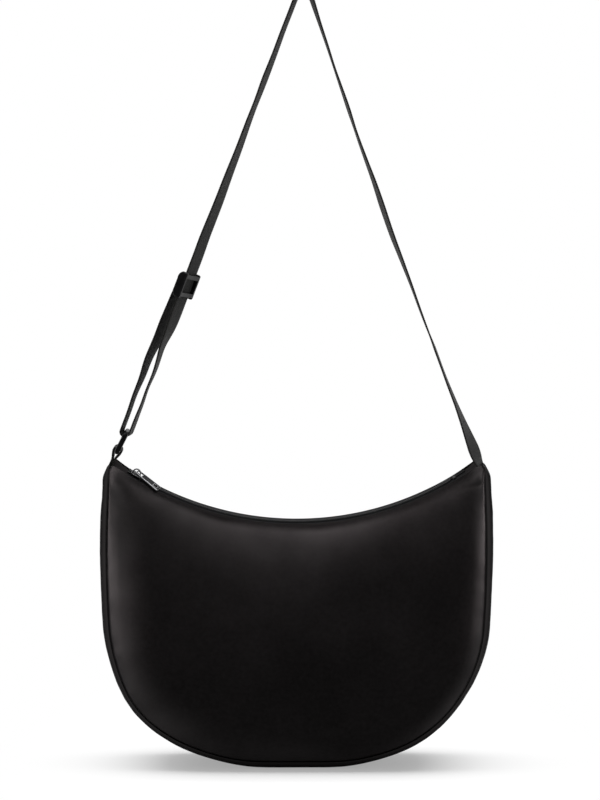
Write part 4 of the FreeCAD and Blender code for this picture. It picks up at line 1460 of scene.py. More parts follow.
    def stitch_mouth(self, side: Side) -> None:
        """Row of stitches below the zip edge of one panel.

        Args:
            side: which panel.
        """
        grid = self.faces[side]
        steps = np.linalg.norm(np.diff(grid[:self.stitch_rows], axis=0), axis=2).cumsum(0)
        row = np.argmax(steps > self.zip_stitch, axis=0) + 1
        line = grid[row, np.arange(self.columns)]
        normal = outward(grid, side)[row, np.arange(self.columns)]
        keep = np.abs(line[:, 0]) < self.stitched_half
        line, normal = line[keep], normal[keep]
        length = travelled(line)[-1]
        shares = np.arange(0.5, length / self.stitch_pitch) * self.stitch_pitch / length
        both = along_line(np.hstack([line, normal]), shares)
        spots, up = both[:, :3], unit(both[:, 3:])
        along = unit(np.gradient(spots, axis=0))
        name = side.word + "_mouth_stitches"
        stitches = self.repeater.spread(name, stitch_unit(), spots + up * self.stitch_rise, along,
                                        up, self.finishes.thread)
        carry(stitches, "bag", "shell")


@dataclass
class Zip:
    """Tapes, teeth and end tabs of the zip."""

    form: BagForm
    finishes: Finishes
    repeater: Repeater
    gap: float = 1.4
    drop: float = 1.0
    tape: float = 0.7
    reach: float = 168.4
    pitch: float = 2.0
    slider_place: float = 161.9
    first_offset: float = 3.2
    row_end: float = 155.9
    tooth_half: float = 0.4
    tooth_foot: float = 3.2
    tooth_nose: float = 0.9
    tooth_height: float = 1.8
    tooth_waist: float = 1.1
    tooth_neck: float = 0.2
    waist_share: float = 0.75
    nose_share: float = 0.55
    crown_share: float = 0.8
    tooth_pinch: float = 0.5
    tape_size: tuple[int, int] = (260, 7)
    tape_lap: float = 0.25
    tape_sag: float = 0.25
    tape_wave: Wave = Wave(0.12, 18.0)
    end_size: tuple[int, int] = (24, 21)
    end_lap: float = 2.0
    end_inset: float = 0.5
    end_drop: float = 0.35
    end_hollow: float = 0.36
    end_wave: Wave = Wave(0.42, 6.0)
    end_cloth: float = 0.9
    # Painted sheen over the cloth ends of the zip.
    end_rub: float = 0.7

    def build(self) -> None:
        """Makes the tapes, the teeth and the cloth ends."""
        for side in Side:
            self.build_tape(side)
            self.build_teeth(side)
        for end in End:
            self.build_end(end)

    def on_arc(self, angle: Array, rise: Array | float, across: Array | float) -> Array:
        """Places by angle along the zip, height over the tilted mouth and place across it.

        Args:
            angle: angles from the zip's lowest point.
            rise: heights over the mouth.
            across: places across, towards the back.

        Returns:
            Points.
        """
        tilt = self.form.zip_tilt
        rise, across = np.asarray(rise, float), np.asarray(across, float)
        radius = self.form.zip_radius - across * math.sin(tilt) - rise * math.cos(tilt)
        y = across * math.cos(tilt) - rise * math.sin(tilt)
        centre = self.form.zip_centre
        x, z = centre[0] + radius * np.sin(angle), centre[1] - radius * np.cos(angle)
        return np.stack(np.broadcast_arrays(x, y, z), -1).astype(float)

    def build_tape(self, side: Side) -> None:
        """Woven tape from beside the teeth to under the panel's edge.

        Args:
            side: which tape.
        """
        end = math.asin(self.reach / self.form.zip_radius)
        angle = np.linspace(-end, end, self.tape_size[0])[:, None]
        x = self.form.zip_radius * np.sin(angle)
        share = np.linspace(0, 1, self.tape_size[1])[None]
        y = self.gap + (self.form.mouth(x) - self.tape_lap - self.gap) * share
        ripple = self.tape_wave.at(SmoothNoise(Seed.TAPE), angle * self.form.zip_radius, y)
        sag = self.tape_sag * np.sin(np.pi * share)
        grid = self.on_arc(angle, -self.drop - sag + ripple, side.value * y)
        uv = np.stack(np.broadcast_arrays(y, angle * self.form.zip_radius), -1)
        sew("zip_tape_" + side.word, "weave", "tape", grid, uv, self.tape, side is Side.FRONT,
            self.finishes.tape)

    def tooth_unit(self) -> Mesh:
        """One tooth: foot on its tape, a waist and a rounded nose, in metres.

        Returns:
            The mesh.
        """
        half, waist, tall = self.tooth_half, self.tooth_waist, self.tooth_height
        right = [(half, self.tooth_foot), (half, waist),
                 (half * self.waist_share, self.tooth_pinch), (half, -self.tooth_neck),
                 (half * self.nose_share, -self.tooth_nose)]
        plan = [(-half, self.tooth_foot), *right, *((-x, y) for x, y in right[:0:-1])]
        levels = [(0.0, 1.0), (tall * self.crown_share, 1.0), (tall, self.crown_share)]
        points = [((x * size) * MM, (waist + (y - waist) * size) * MM, (z - self.drop) * MM)
                  for z, size in levels for x, y in plan]
        count = len(plan)
        faces = [tuple(range(count)), tuple(reversed(range(2 * count, 3 * count)))]
        for level in range(2):
            for index in range(count):
                a, b = level * count + index, level * count + (index + 1) % count
                faces.append((b, a, a + count, b + count))
        mesh = bpy.data.meshes.new("tooth")
        mesh.from_pydata(points, [], faces)
        return mesh

    def build_teeth(self, side: Side) -> None:
        """Row of teeth; the back row sits half a pitch further on.

        Args:
            side: which tape.
        """
        radius = self.form.zip_radius
        start = -math.asin(self.slider_place / radius) + self.first_offset / radius
        count = int((math.asin(self.row_end / radius) - start) * radius / self.pitch)
        shift = 0.0 if side is Side.FRONT else 0.5
        angle = start + (np.arange(count) + shift) * self.pitch / radius
        spots = self.on_arc(angle, 0.0, 0.0)
        along = np.stack([np.cos(angle), np.zeros(count), np.sin(angle)], 1)
        lean = self.form.zip_tilt
        up = np.stack([-np.sin(angle) * math.cos(lean), np.full(count, -math.sin(lean)),
                       np.cos(angle) * math.cos(lean)], 1)
        if side is Side.FRONT:
            along = -along
        name = "zip_teeth_" + side.word
        teeth = self.repeater.spread(name + "_row", self.tooth_unit(), spots, along, up,
                                     self.finishes.teeth)
        carry(teeth, "bag", "teeth", name)

    def build_end(self, end: End) -> None:
        """Cloth that closes the mouth past the end of the zip.

        Args:
            end: which end.
        """
        tip = self.form.right_half()["tip"]
        last = tip[len(tip) // 2]
        far = math.atan2(last[0], self.form.zip_centre[1] - last[1])
        near = math.asin((self.reach - self.end_lap) / self.form.zip_radius)
        angle = end.value * np.linspace(near, far, self.end_size[0])[:, None]
        x = self.form.zip_radius * np.sin(angle)
        share = np.linspace(-1, 1, self.end_size[1])[None]
        y = share * (self.form.mouth(x) - self.end_inset)
        tuck = self.end_wave.at(SmoothNoise(Seed.ZIP_END), angle * self.form.zip_radius, y * 2.0)
        tuck -= self.end_hollow * (1 - share ** 2)
        grid = self.on_arc(angle, -self.drop - self.tape - self.end_drop + tuck, y)
        uv = np.stack(np.broadcast_arrays(angle * self.form.zip_radius, y), -1)
        # The cloth ends carry an even painted sheen, like the band below the mouth.
        sew("zip_end_" + end.word, "cloth", "shell", grid, uv, self.end_cloth, end is End.RIGHT,
            self.finishes.shell, np.full(grid.shape[:2], self.end_rub))


# Strap, tab and hardware.


def upright(place: Array) -> Array:
    """Place or direction of the picture plane in space."""
    return np.array([place[0], 0.0, place[1]])


# Twist of the strap in degrees from the picture plane, by share of the way from the buckle to the
# top on the left, and from the top to the seam on the right.
LEFT_TWIST = ((0.12, 68.0), (0.31, 72.0), (0.45, 76.5), (0.64, 82.0), (0.72, 78.5), (0.8, 81.0),
              (0.92, 82.5), (1.0, 82.0))
RIGHT_TWIST = ((0.0, 82.0), (0.05, 86.0), (0.14, 89.0), (0.23, 85.0), (0.27, 88.0), (0.35, 85.0),
               (0.43, 80.5), (0.5, 82.0), (0.62, 88.0), (0.7, 90.0), (0.74, 94.0), (0.79, 93.5),
               (0.86, 97.0), (0.9, 103.0), (0.93, 110.0), (0.965, 118.0), (0.985, 110.5),
               (1.0, 101.0))


@dataclass
class WebbingRun:
    """Centre line of a webbing with the direction across it."""

    centres: Array
    wide: Array

    @classmethod
    def twisted(cls, flat: Array, inward: Array, twist: Array,
                y: Array | float = 0.0) -> "WebbingRun":
        """Run in the picture plane.

        Args:
            flat: xz places.
            inward: xz directions towards the inside of the strap's loop.
            twist: degrees from the picture plane.
            y: y of each place.

        Returns:
            The run.
        """
        turn = np.radians(twist)
        depth = np.broadcast_to(y, turn.shape)
        centres = np.stack([flat[:, 0], depth, flat[:, 1]], 1)
        wide = np.stack([inward[:, 0] * np.cos(turn), np.sin(turn), inward[:, 1] * np.cos(turn)], 1)
        return cls(centres, wide)

    def length(self) -> float:
        """Length along the centre line."""
        return float(travelled(self.centres)[-1])

    def even(self, step: float) -> "WebbingRun":
        """The same run at even steps.

        Args:
            step: wanted step.

        Returns:
            The new run.
        """
        count = max(int(round(self.length() / step)), 4)
        both = along_line(np.hstack([self.centres, self.wide]), np.linspace(0, 1, count + 1))
        return WebbingRun(both[:, :3], unit(both[:, 3:]))


@dataclass
class Strap:
    """Shoulder strap, its loops, and the left tab."""

    form: BagForm
    finishes: Finishes
    repeater: Repeater
    half_wide: float = 12.5
    half_thick: float = 0.8
    rib_pitch: float = 2.0
    rib: float = 0.09
    selvedge: float = 2.4
    selvedge_width: float = 0.7
    selvedge_share: float = 0.10
    apex: tuple[float, float] = (7.0, 771.0)
    hook: float = 8.0
    sag: float = 4.2
    twist_left: float = 67.0
    tab_share: float = 0.5
    tab_rise: float = 14.0
    tab_lean: float = 25.0
    tab_half: float = 1.0
    tab_wide: float = 11.0
    tab_eye: float = 3.0
    tab_root: float = 4.0
    tab_gap: float = 0.06
    tab_parting: float = 3.0
    tab_over: float = 1.5
    tab_hold: float = 2.0
    ring_lean: float = 27.0
    ring_pitch: float = 20.0
    loop_lift: float = 1.5
    loop_inside: float = 3.8
    loop_reach: float = 14.0
    loop_twist: float = 84.0
    seam_depth: float = 5.0
    buckle_place: float = 158.0
    twist_start: float = 106.0
    mid_bar: float = 4.3
    bar_half: float = 1.4
    bar_tall: float = 2.3
    sewn_leg: float = 9.0
    sewn_lap: float = 0.6
    sewn_levels: Range = (-5.0, -7.6)
    sewn_stitch: Point = (1.9, 0.55, 0.5)
    sewn_half: float = 9.9
    sewn_count: int = 10
    top_twist: float = 82.0
    right_split: float = 0.9
    twist_blur: float = 0.012
    low_twist: float = 88.0
    turn_twist: float = 82.0
    turn_before: float = 18.0
    turn_after: float = 14.0
    turn_half: float = 20.0
    loop_ease: float = 30.0
    smoothing: int = 13
    buckle_range: Range = (15.0, 45.0)
    top_range: float = 40.0
    right_rise: Range = (0.0, 0.12)
    right_fall: Range = (0.75, 0.88)
    right_length: float = 470.0
    return_length: float = 130.0
    return_sway: Point = (-1.6, 0.6, 0.0)
    return_ease: float = 0.2
    return_range: Range = (0.1, 0.8)
    low_wave: Wave = Wave(2.6, 38.0)
    high_wave: Wave = Wave(0.9, 46.0)
    right_wave: Wave = Wave(1.1, 52.0)
    return_wave: Wave = Wave(3.0, 34.0)
    steps: int = 300
    bend_steps: int = 60
    loop_steps: int = 40
    return_steps: int = 90
    sewn_steps: int = 16
    sewn_under: int = 13
    cap_steps: int = 30
    corner_steps: int = 6

    def __post_init__(self) -> None:
        """Works out the strap's line from the corners, the ring and the top."""
        tip = replace(self.form, tip_share=self.tab_share).right_half()["tip"][0]
        self.foot = np.array([-tip[0], tip[1]])
        lean, ring = math.radians(self.tab_lean), math.radians(self.ring_lean)
        self.eye = self.foot + self.tab_rise * np.array([math.sin(lean), math.cos(lean)])
        top_bar = self.eye + self.ring_pitch * np.array([math.sin(ring), math.cos(ring)])
        self.loop_c = top_bar + [0.0, self.loop_lift]
        self.loop_r = self.loop_inside + self.half_thick
        self.top_r = self.hook + self.half_thick
        self.top_c = np.array([self.apex[0], self.apex[1] - self.hook])
        gap = self.top_c - self.loop_c
        turn = math.acos((self.top_r + self.loop_r) / np.hypot(*gap)) - math.atan2(gap[1], gap[0])
        self.left_turn = turn
        self.along = np.array([math.sin(turn), math.cos(turn)])
        self.inward = np.array([math.cos(turn), -math.sin(turn)])
        self.left_low = self.loop_c + self.loop_r * self.inward
        self.left_length = float(np.hypot(*(self.top_c - self.top_r * self.inward - self.left_low)))
        self.seam = np.array([tip[0], tip[1] - self.seam_depth])
        gap = self.seam - self.top_c
        self.right_turn = math.atan2(gap[1], gap[0]) + math.acos(self.top_r / np.hypot(*gap))

    def build(self) -> None:
        """Makes every length of webbing."""
        self.build_main()
        self.build_right_end()
        self.build_ring_loop()
        self.build_return_ply()
        self.build_sewn_end()
        self.build_tab()

    def section(self, half_wide: float, half_thick: float) -> Array:
        """Flat section with round selvedges, as across and through offsets.

        Args:
            half_wide: half of the width.
            half_thick: half of the thickness.

        Returns:
            Points round the section.
        """
        flat = np.linspace(-1, 1, 9) * (half_wide - half_thick)
        turn = np.linspace(-np.pi / 2, np.pi / 2, 5)[1:-1]
        off = (np.abs(flat) - half_wide + self.selvedge) / self.selvedge_width
        face = half_thick * (1 - self.selvedge_share * np.exp(-off ** 2))
        right = np.stack([half_wide - half_thick + half_thick * np.cos(turn),
                          half_thick * np.sin(turn)], 1)
        return np.vstack([np.stack([flat, -face], 1), right,
                          np.stack([flat[::-1], face[::-1]], 1), right[::-1] * [-1, 1]])

    def ribbon(self, name: str, run: WebbingRun, half_wide: float, half_thick: float) -> Object:
        """Closed webbing along a run, with a rib at every pitch.

        Args:
            name: piece name.
            run: centre line and direction across.
            half_wide: half of the width.
            half_thick: half of the thickness.

        Returns:
            The webbing object.
        """
        run = run.even(self.rib_pitch / 2)
        tangent = unit(np.gradient(run.centres, axis=0))
        wide = unit(run.wide - tangent * np.sum(run.wide * tangent, 1, keepdims=True))
        thick = np.cross(tangent, wide)
        shape = self.section(half_wide, half_thick)
        count, around = len(run.centres), len(shape)
        rib = 1 + self.rib / half_thick * np.where(np.arange(count) % 2, 1.0, -1.0)
        points = run.centres[:, None] + wide[:, None] * shape[None, :, :1] \
            + thick[:, None] * shape[None, :, 1:] * rib[:, None, None]
        index = np.arange(count * around).reshape(count, around)
        ahead = np.roll(index, -1, axis=1)
        quads = np.stack([index[:-1], ahead[:-1], ahead[1:], index[1:]], -1).reshape(-1, 4)
        faces = quads.tolist() + [index[0][::-1].tolist(), index[-1].tolist()]
        travel = np.arange(count) * self.rib_pitch / 2
        uv = np.stack(np.broadcast_arrays(shape[None, :, 0] + half_wide, travel[:, None]), -1)
        return make_object(name, points.reshape(-1, 3), faces, uv.reshape(-1, 2),
                           self.finishes.webbing)

    def left_at(self, rise: Array) -> Array:
        """Places on the straight left run by distance above the ring's bend."""
        return self.left_low + np.asarray(rise, float)[:, None] * self.along

    def right_at(self, share: Array) -> Array:
        """Places on the sagging right run by share of its length.

        Args:
            share: shares from 0 at the top to 1 at the seam.

        Returns:
            Places in the xz plane.
        """
        out = np.array([math.cos(self.right_turn), math.sin(self.right_turn)])
        start = self.top_c + self.top_r * out
        share = np.asarray(share, float)[:, None]
        return start + share * (self.seam - start) - self.sag * 4 * share * (1 - share) * out

    def right_twist(self, share: Array) -> Array:
        """Twist of the right run in degrees, with its turn above the seam.

        Args:
            share: shares from 0 at the top to 1 at the seam.

        Returns:
            Degrees from the picture plane.
        """
        knots, turns = np.array(RIGHT_TWIST).T
        offsets = np.linspace(-self.twist_blur, self.twist_blur, 9)
        return np.mean([np.interp(share + offset, knots, turns) for offset in offsets], axis=0)

    def left_run(self) -> WebbingRun:
        """Webbing from the ring up through the buckle to the top.

        Returns:
            The run.
        """
        rise = np.linspace(self.loop_reach, self.left_length, self.steps)
        shares, turns = np.array(LEFT_TWIST).T
        above = self.buckle_place + (self.left_length - self.buckle_place) * shares
        start, turn = self.loop_reach, self.twist_start
        levels = [start, start + self.loop_ease, turn - self.turn_before, turn + self.turn_after]
        degrees = [self.loop_twist, self.low_twist, self.turn_twist, self.twist_left]
        twist = np.interp(rise, [*levels, *above], [*degrees, *turns])
        twist = np.convolve(np.pad(twist, self.smoothing // 2, mode="edge"),
                            np.full(self.smoothing, 1 / self.smoothing), mode="valid")
        wave = self.low_wave.at(SmoothNoise(Seed.STRAP_LOW), rise, rise * 0) * window(
            (start, start + self.loop_ease), (turn - self.turn_half, turn + self.turn_half), rise)
        wave += self.high_wave.at(SmoothNoise(Seed.STRAP_HIGH), rise, rise * 0 + 4) * window(
            tuple(self.buckle_place + np.array(self.buckle_range)),
            (self.left_length - self.top_range, self.left_length), rise)
        return WebbingRun.twisted(self.left_at(rise) + wave[:, None] * self.inward,
                                  np.tile(self.inward, (self.steps, 1)), twist)

    def top_run(self) -> WebbingRun:
        """Webbing bent over the top.

        Returns:
            The run.
        """
        angle = np.linspace(math.pi - self.left_turn, self.right_turn, self.bend_steps)[1:-1]
        ray = np.stack([np.cos(angle), np.sin(angle)], 1)
        return WebbingRun.twisted(self.top_c + self.top_r * ray, -ray,
                                  np.full(len(ray), self.top_twist))

    def right_run(self) -> WebbingRun:
        """Webbing from the top down most of the right side.

        Returns:
            The run.
        """
        share = np.linspace(0.0, self.right_split, self.steps)
        sway = self.right_wave.at(SmoothNoise(Seed.STRAP_RIGHT), share * self.right_length,
                                  share * 0 + 7) * window(self.right_rise, self.right_fall, share)
        inward = self.right_inward(self.steps)
        return WebbingRun.twisted(self.right_at(share) + sway[:, None] * inward, inward,
                                  self.right_twist(share))

    def build_main(self) -> None:
        """Webbing from the ring up over the top and down most of the right run."""
        runs = (self.left_run(), self.top_run(), self.right_run())
        whole = WebbingRun(np.vstack([run.centres for run in runs]),
                           np.vstack([run.wide for run in runs]))
        LOG.info("strap from ring to corner: about %.0f mm",
                 whole.length() * (1 + (1 - self.right_split) / 2))
        carry(self.ribbon("strap_main", whole, self.half_wide, self.half_thick),
              "strap", "webbing", "shoulder_strap")

    def right_inward(self, count: int) -> Array:
        """Direction into the strap's loop, repeated along the right run."""
        return np.tile([-math.cos(self.right_turn), -math.sin(self.right_turn)], (count, 1))

    def blended(self, obj: Object,
                node: str) -> None:
        """Bakes a length of webbing into the imported frame and hides its CAD node.

        Args:
            obj: the webbing.
            node: CAD node that the webbing stands for.
        """
        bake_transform(obj)
        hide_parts(node)

    def build_right_end(self) -> None:
        """Last part of the right run, down into the corner seam."""
        share = np.linspace(self.right_split, 1.0, self.bend_steps)
        run = WebbingRun.twisted(self.right_at(share), self.right_inward(len(share)),
                                 self.right_twist(share))
        obj = self.ribbon("strap_right_turn", run, self.half_wide, self.half_thick)
        self.blended(obj,
                     "strap_right_end")

    def loop_leg(self, side: float) -> Array:
        """Top of one leg of the ring loop; 1 for the inner leg, -1 for the outer."""
        return self.loop_c + side * self.loop_r * self.inward + self.loop_reach * self.along

    def build_ring_loop(self) -> None:
        """Webbing bent round the ring's upper bar."""
        turn = np.linspace(0, np.pi, self.loop_steps)[:, None]
        bend = self.loop_c + self.loop_r * (self.inward * np.cos(turn) - self.along * np.sin(turn))
        flat = np.vstack([[self.loop_leg(1)], bend, [self.loop_leg(-1)]])
        run = WebbingRun.twisted(flat, np.tile(self.inward, (len(flat), 1)),
                                 np.full(len(flat), self.loop_twist))
        obj = self.ribbon("strap_loop", run, self.half_wide, self.half_thick)
        self.blended(obj,
                     "strap_ring_loop")

    def buckle_axes(self) -> tuple[Array, Array, Array, Array]:
        """Origin of the buckle with its across, away and along directions.

        Returns:
            The origin and three unit vectors.
        """
        point = self.left_at(np.array([self.buckle_place]))[0]
        turn = math.radians(self.twist_left)
        inward, depth = upright(self.inward), np.array([0.0, 1.0, 0.0])
        return (upright(point), inward * math.cos(turn) + depth * math.sin(turn),
                inward * -math.sin(turn) + depth * math.cos(turn), upright(self.along))

    def build_return_ply(self) -> None:
        """Webbing from the ring loop back up to the buckle."""
        origin, _, away, along = self.buckle_axes()
        start = upright(self.loop_leg(-1))
        end = origin + away * (self.mid_bar + self.bar_half + self.half_thick) \
            - along * self.sewn_leg
        share = np.linspace(0, 1, self.return_steps)[:, None]
        ease = smoothstep(0, 1, share)
        wave = self.return_wave.at(SmoothNoise(Seed.STRAP_RETURN), share * self.return_length,
                                   share * 0 + 9)
        sway = np.sin(np.pi * share) * (np.array(self.return_sway) + wave * upright(self.inward))
        centres = start + (end - start) * (share + self.return_ease * (ease - share)) + sway
        twist = self.loop_twist + smoothstep(*self.return_range, share[:, 0]) * (
            self.twist_left - self.loop_twist)
        run = WebbingRun.twisted(centres[:, [0, 2]], np.tile(self.inward, (len(share), 1)), twist,
                                 centres[:, 1])
        obj = self.ribbon("strap_return", run, self.half_wide, self.half_thick)
        self.blended(obj, "strap_return_ply")

    def build_sewn_end(self) -> None:
        """End of the webbing sewn round the buckle's middle bar."""
        origin, across, away, along = self.buckle_axes()
        far, near = self.mid_bar + self.bar_half + self.half_thick, \
            self.mid_bar - self.bar_half - self.half_thick
        tall, turn = self.bar_tall, np.linspace(0, np.pi, self.sewn_steps)
        middle, radius = (far + near) / 2, (far - near) / 2
        over = np.stack([middle + radius * np.cos(turn),
                         tall - self.sewn_lap + radius * np.sin(turn)], 1)
        turn = turn[:self.sewn_under]
        under = np.stack([middle - radius * np.cos(turn),
                          self.sewn_lap - tall - radius * np.sin(turn)], 1)
        flat = np.vstack([[[far, -self.sewn_leg]], over, under])
        centres = origin + flat[:, :1] * away + flat[:, 1:] * along
        run = WebbingRun(centres, np.tile(across, (len(flat), 1)))
        carry(self.ribbon("strap_sewn", run, self.half_wide, self.half_thick),
              "buckle", "webbing", "strap_sewn_end")
        spots, ways = [], []
        for level in self.sewn_levels:
            for offset in np.linspace(-self.sewn_half, self.sewn_half, self.sewn_count):
                spots.append(origin + across * offset + away * (far + self.half_thick)
                             + along * level)
                ways.append(across)
        stitches = self.repeater.spread(
            "strap_sewn_stitches", stitch_unit(*self.sewn_stitch), np.array(spots), np.array(ways),
            np.tile(away, (len(spots), 1)), self.finishes.thread)
        carry(stitches, "buckle", "webbing")

    def build_tab(self) -> None:
        """Webbing tab folded round the ring and sewn into the left corner."""
        radius = self.tab_eye + self.tab_half
        near = self.tab_half + self.tab_gap
        rise = np.linspace(-self.tab_root, self.tab_rise, self.bend_steps)
        spread = smoothstep(self.tab_parting, self.tab_rise + self.tab_over, rise)
        bulge = near + (radius - near) * spread / spread[-1]
        turn = np.linspace(0, np.pi, self.cap_steps)[1:-1]
        cap = np.stack([radius * np.cos(turn), self.tab_rise + radius * np.sin(turn)], 1)
        right = np.stack([bulge, rise], 1)
        flat = np.vstack([right, cap, right[::-1] * [-1, 1]])
        lean = math.radians(self.tab_lean)
        x = self.foot[0] + flat[:, 0] * math.cos(lean) + flat[:, 1] * math.sin(lean)
        z = self.foot[1] - flat[:, 0] * math.sin(lean) + flat[:, 1] * math.cos(lean)
        run = WebbingRun(np.stack([x, np.zeros(len(x)), z], 1),
                         np.tile([0.0, 1.0, 0.0], (len(x), 1)))
        obj = self.ribbon("left_tab_webbing", run, self.tab_wide, self.tab_half)
        self.blended(obj, "left_tab")


@dataclass
class Hardware:
    """Metal pieces, taken from the CAD nodes with their edges eased."""

    nodes: dict[str, Object]
    finishes: Finishes
    margin: float = 0.55
    sharp: float = 32.0
    crisp: float = 45.0
    level: float = 1.0
    weld: float = 0.002
    flat_limit: float = 0.95
    rim_rub: float = 0.8
    margin_rub: float = 0.7

    def build(self) -> None:
        """Makes every metal piece."""
        bright, black = self.finishes.metal, self.finishes.black_metal
        for node, body, eased, swell, finish in (
                ("slider_body", "slider", 0.2, 0.0, bright),
                ("slider_crown", "slider", 0.22, 0.0, bright),
                ("pull_tab", "puller", 0.22, 0.0, bright),
                ("rectangular_ring", "ring", 0.0, 0.6, black),
                ("slide_buckle", "buckle", 0.7, 0.0, black),
                ("zip_top_stops", "bag", 0.2, 0.0, black),
                ("zip_bottom_stop", "bag", 0.2, 0.0, black)):
            self.ease(node, body, eased, swell, finish)

    def ease(self, node: str, body: str, width: float, swell: float, finish: Material) -> None:
        """Copy of one CAD node with rounded edges, rubbed bright there and on a plate's rim.

        Args:
            node: CAD node.
            body: body that carries it.
            width: rounding in millimetres, 0 to keep the node's own edges.
            swell: outward growth in millimetres.
            finish: its material.
        """
        maker = bmesh.new()
        maker.from_mesh(self.nodes[node].data)
        bmesh.ops.remove_doubles(maker, verts=maker.verts, dist=self.weld * MM)
        rubbed = maker.faces.layers.float.new("edge")
        if width:
            bmesh.ops.dissolve_limit(maker, angle_limit=math.radians(self.level),
                                     verts=maker.verts, edges=maker.edges)
            if node == "pull_tab":
                self.rub_rim(maker, rubbed)
            edges = [edge for edge in maker.edges if len(edge.link_faces) == 2
                     and edge.calc_face_angle() > math.radians(self.sharp)]
            made = bmesh.ops.bevel(maker, geom=edges, offset=width * MM, segments=3, profile=0.5,
                                   affect="EDGES", clamp_overlap=True)
            for face in made["faces"]:
                face[rubbed] = 1.0
            bmesh.ops.triangulate(maker, faces=maker.faces)
        maker.normal_update()
        for vert in maker.verts:
            vert.co += vert.normal * swell * MM
        mesh = bpy.data.meshes.new(node + "_metal")
        maker.to_mesh(mesh)
        maker.free()
        mesh.shade_smooth()
        mesh.set_sharp_from_angle(angle=math.radians(self.crisp))
        mesh.materials.append(finish)
        carry(link_mesh(node + "_metal", mesh), body, "hardware", node)

    def rub_rim(self, maker: bmesh.types.BMesh, rubbed: bmesh.types.BMLayerItem) -> None:
        """Marks a plate's rim and a narrow margin of its faces as rubbed.

        Args:
            maker: mesh of the plate.
            rubbed: layer that takes the marks.
        """
        plate = max(maker.faces, key=lambda face: face.calc_area()).normal.copy()
        flat = [face for face in maker.faces if abs(face.normal.dot(plate)) > self.flat_limit]
        for face in maker.faces:
            face[rubbed] = 0.0 if face in flat else self.rim_rub
        margin = bmesh.ops.inset_region(maker, faces=flat, thickness=self.margin * MM,
                                        use_boundary=True, use_even_offset=True)
        for face in margin["faces"]:
            face[rubbed] = self.margin_rub


# Studio.


@dataclass(frozen=True)
class Lamp:
    """Rectangular light.

    Args:
        name: its name.
        place: its middle.
        aim: the point that it faces.
        size: width and height.
        power: watts.
    """

    name: str
    place: Point
    aim: Point
    size: Range
    power: float


TOP_BOX = Lamp("top_box", (0.0, 0.02, 1.0), (0.0, 0.0, -0.77), (2.6, 0.8), 48.0)
CARD_AIM = (0.0, 0.0, -0.6)
CARD_COLOUR = (1.0, 0.94, 0.945)
CARDS = (Lamp("high_card", (-0.25, -0.75, 0.75), CARD_AIM, (0.8, 0.4), 12.0),
         Lamp("broad_card", (-0.74, -0.55, -0.42), CARD_AIM, (0.5, 0.7), 8.0),
         Lamp("edge_card", (0.68, -0.40, -0.36), CARD_AIM, (0.34, 0.56), 7.5))


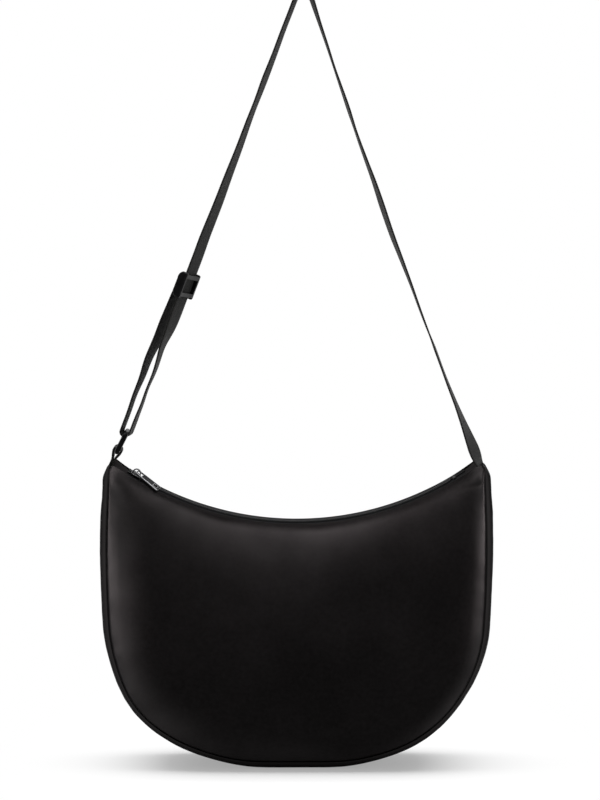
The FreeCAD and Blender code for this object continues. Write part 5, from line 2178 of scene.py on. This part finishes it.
@dataclass
class Studio:
    """Pale floor, soft lights and the camera at the photograph's place."""

    floor_level: float = -0.771
    elevation: float = 6.0
    distance: float = 2.7
    target: Point = (-0.0035, 0.0, -0.4015)
    picture_height: float = 0.8
    sensor: float = 36.0
    far_clip: float = 60.0
    floor_reach: float = 6.0
    floor_dark: Colour = (0.86, 0.86, 0.86)
    floor_light: Colour = (0.9, 0.9, 0.9)
    shade_narrowing: float = 1.6
    shade_range: Range = (0.15, 0.5)
    glow_range: Range = (0.35, 1.0)
    world_light: float = 0.3

    def build(self) -> None:
        """Sets the floor, the world, the lights and the camera."""
        self.build_floor()
        self.build_world()
        self.build_lights()
        self.build_camera()
        bpy.context.scene.view_settings.view_transform = "Standard"

    def build_floor(self) -> None:
        """Square of pale floor that shows white except where the bag shades it."""
        mesh = bpy.data.meshes.new("floor")
        corners = ((-1, -1), (1, -1), (1, 1), (-1, 1))
        mesh.from_pydata([(x * self.floor_reach, y * self.floor_reach, self.floor_level)
                          for x, y in corners], [], [(0, 1, 2, 3)])
        tree = ShaderTree("floor")
        mottled = tree.noise(tree.object_place, 3.0, 2.0)
        paint = tree.finish(Base_Color=tree.mix(mottled, self.floor_dark, self.floor_light),
                            Roughness=0.9, Specular_IOR_Level=0.0)
        glow = tree.add("ShaderNodeEmission", Color=WHITE, Strength=1.0).outputs[0]
        across, back = tree.axes(tree.object_place)
        across = tree.calc("MULTIPLY", across, self.shade_narrowing)
        far = tree.calc("SQRT", tree.calc("ADD", tree.calc("MULTIPLY", across, across),
                                          tree.calc("MULTIPLY", back, back)))
        fade = tree.remap(far, self.shade_range, self.glow_range, "SMOOTHSTEP")
        tree.put(tree.output.inputs["Surface"], tree.blend(
            tree.calc("MULTIPLY", tree.seen(), fade), tree.surface.outputs[0], glow))
        mesh.materials.append(paint)
        link_mesh("floor", mesh)

    def build_world(self) -> None:
        """World that is white where it is seen or mirrored, and dim as a light."""
        world = bpy.data.worlds.new("studio")
        bpy.context.scene.world = world
        world.use_nodes = True
        tree = NodeTree(world.node_tree)
        output = tree.add("ShaderNodeOutputWorld")
        lights = [tree.add("ShaderNodeBackground", Color=WHITE, Strength=strength).outputs[0]
                  for strength in (self.world_light, 1.0)]
        tree.put(output.inputs["Surface"], tree.blend(tree.seen(), *lights))

    def build_lights(self) -> None:
        """Softbox overhead, and three cards for each panel that only gleam on its cloth."""
        self.add_light(TOP_BOX)
        for side in Side:
            panel = bpy.data.collections.new(side.word + "_gleam")
            panel.objects.link(bpy.data.objects[side.word + "_panel_cloth"])
            for card in CARDS:
                x, y, z = card.place
                lamp = self.add_light(replace(card, name=f"{side.word}_{card.name}",
                                              place=(-side.value * x, -side.value * y, z)))
                lamp.data.color = CARD_COLOUR
                lamp.visible_diffuse = lamp.visible_camera = False
                lamp.light_linking.receiver_collection = panel

    def add_light(self, light: Lamp) -> Object:
        """Puts a light into the scene.

        Args:
            light: its values.

        Returns:
            The lamp object.
        """
        data = bpy.data.lights.new(light.name, "AREA")
        data.shape = "RECTANGLE"
        data.size, data.size_y = light.size
        data.energy = light.power
        lamp = bpy.data.objects.new(light.name, data)
        lamp.location = light.place
        way = Vector(light.aim) - Vector(light.place)
        lamp.rotation_euler = way.to_track_quat("-Z", "Y").to_euler()
        bpy.context.scene.collection.objects.link(lamp)
        return lamp

    def build_camera(self) -> None:
        """Long lens a little above the bag, at one millimetre to the pixel."""
        data = bpy.data.cameras.new("camera")
        data.sensor_width = self.sensor
        data.lens = data.sensor_width * self.distance / self.picture_height
        data.clip_end = self.far_clip
        camera = bpy.data.objects.new("camera", data)
        rise = math.radians(self.elevation)
        back = Vector((0.0, -math.cos(rise), math.sin(rise)))
        camera.location = Vector(self.target) + back * self.distance
        camera.rotation_euler = (-back).to_track_quat("-Z", "Y").to_euler()
        bpy.context.scene.collection.objects.link(camera)
        bpy.context.scene.camera = camera


def main() -> None:
    """Builds the bag round its frame and reports the pieces."""
    logging.basicConfig(level=logging.INFO, format="%(name)s: %(message)s")
    for obj in list(bpy.data.objects):
        bpy.data.objects.remove(obj)
    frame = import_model()
    form, finishes, repeater = BagForm(), Finishes(), Repeater()
    for group in (Shell(form, finishes, repeater), Zip(form, finishes, repeater),
                  Strap(form, finishes, repeater), Hardware(frame["nodes"], finishes), Studio()):
        group.build()
        LOG.info("built %s", type(group).__name__)


if __name__ == "__main__":
    main()
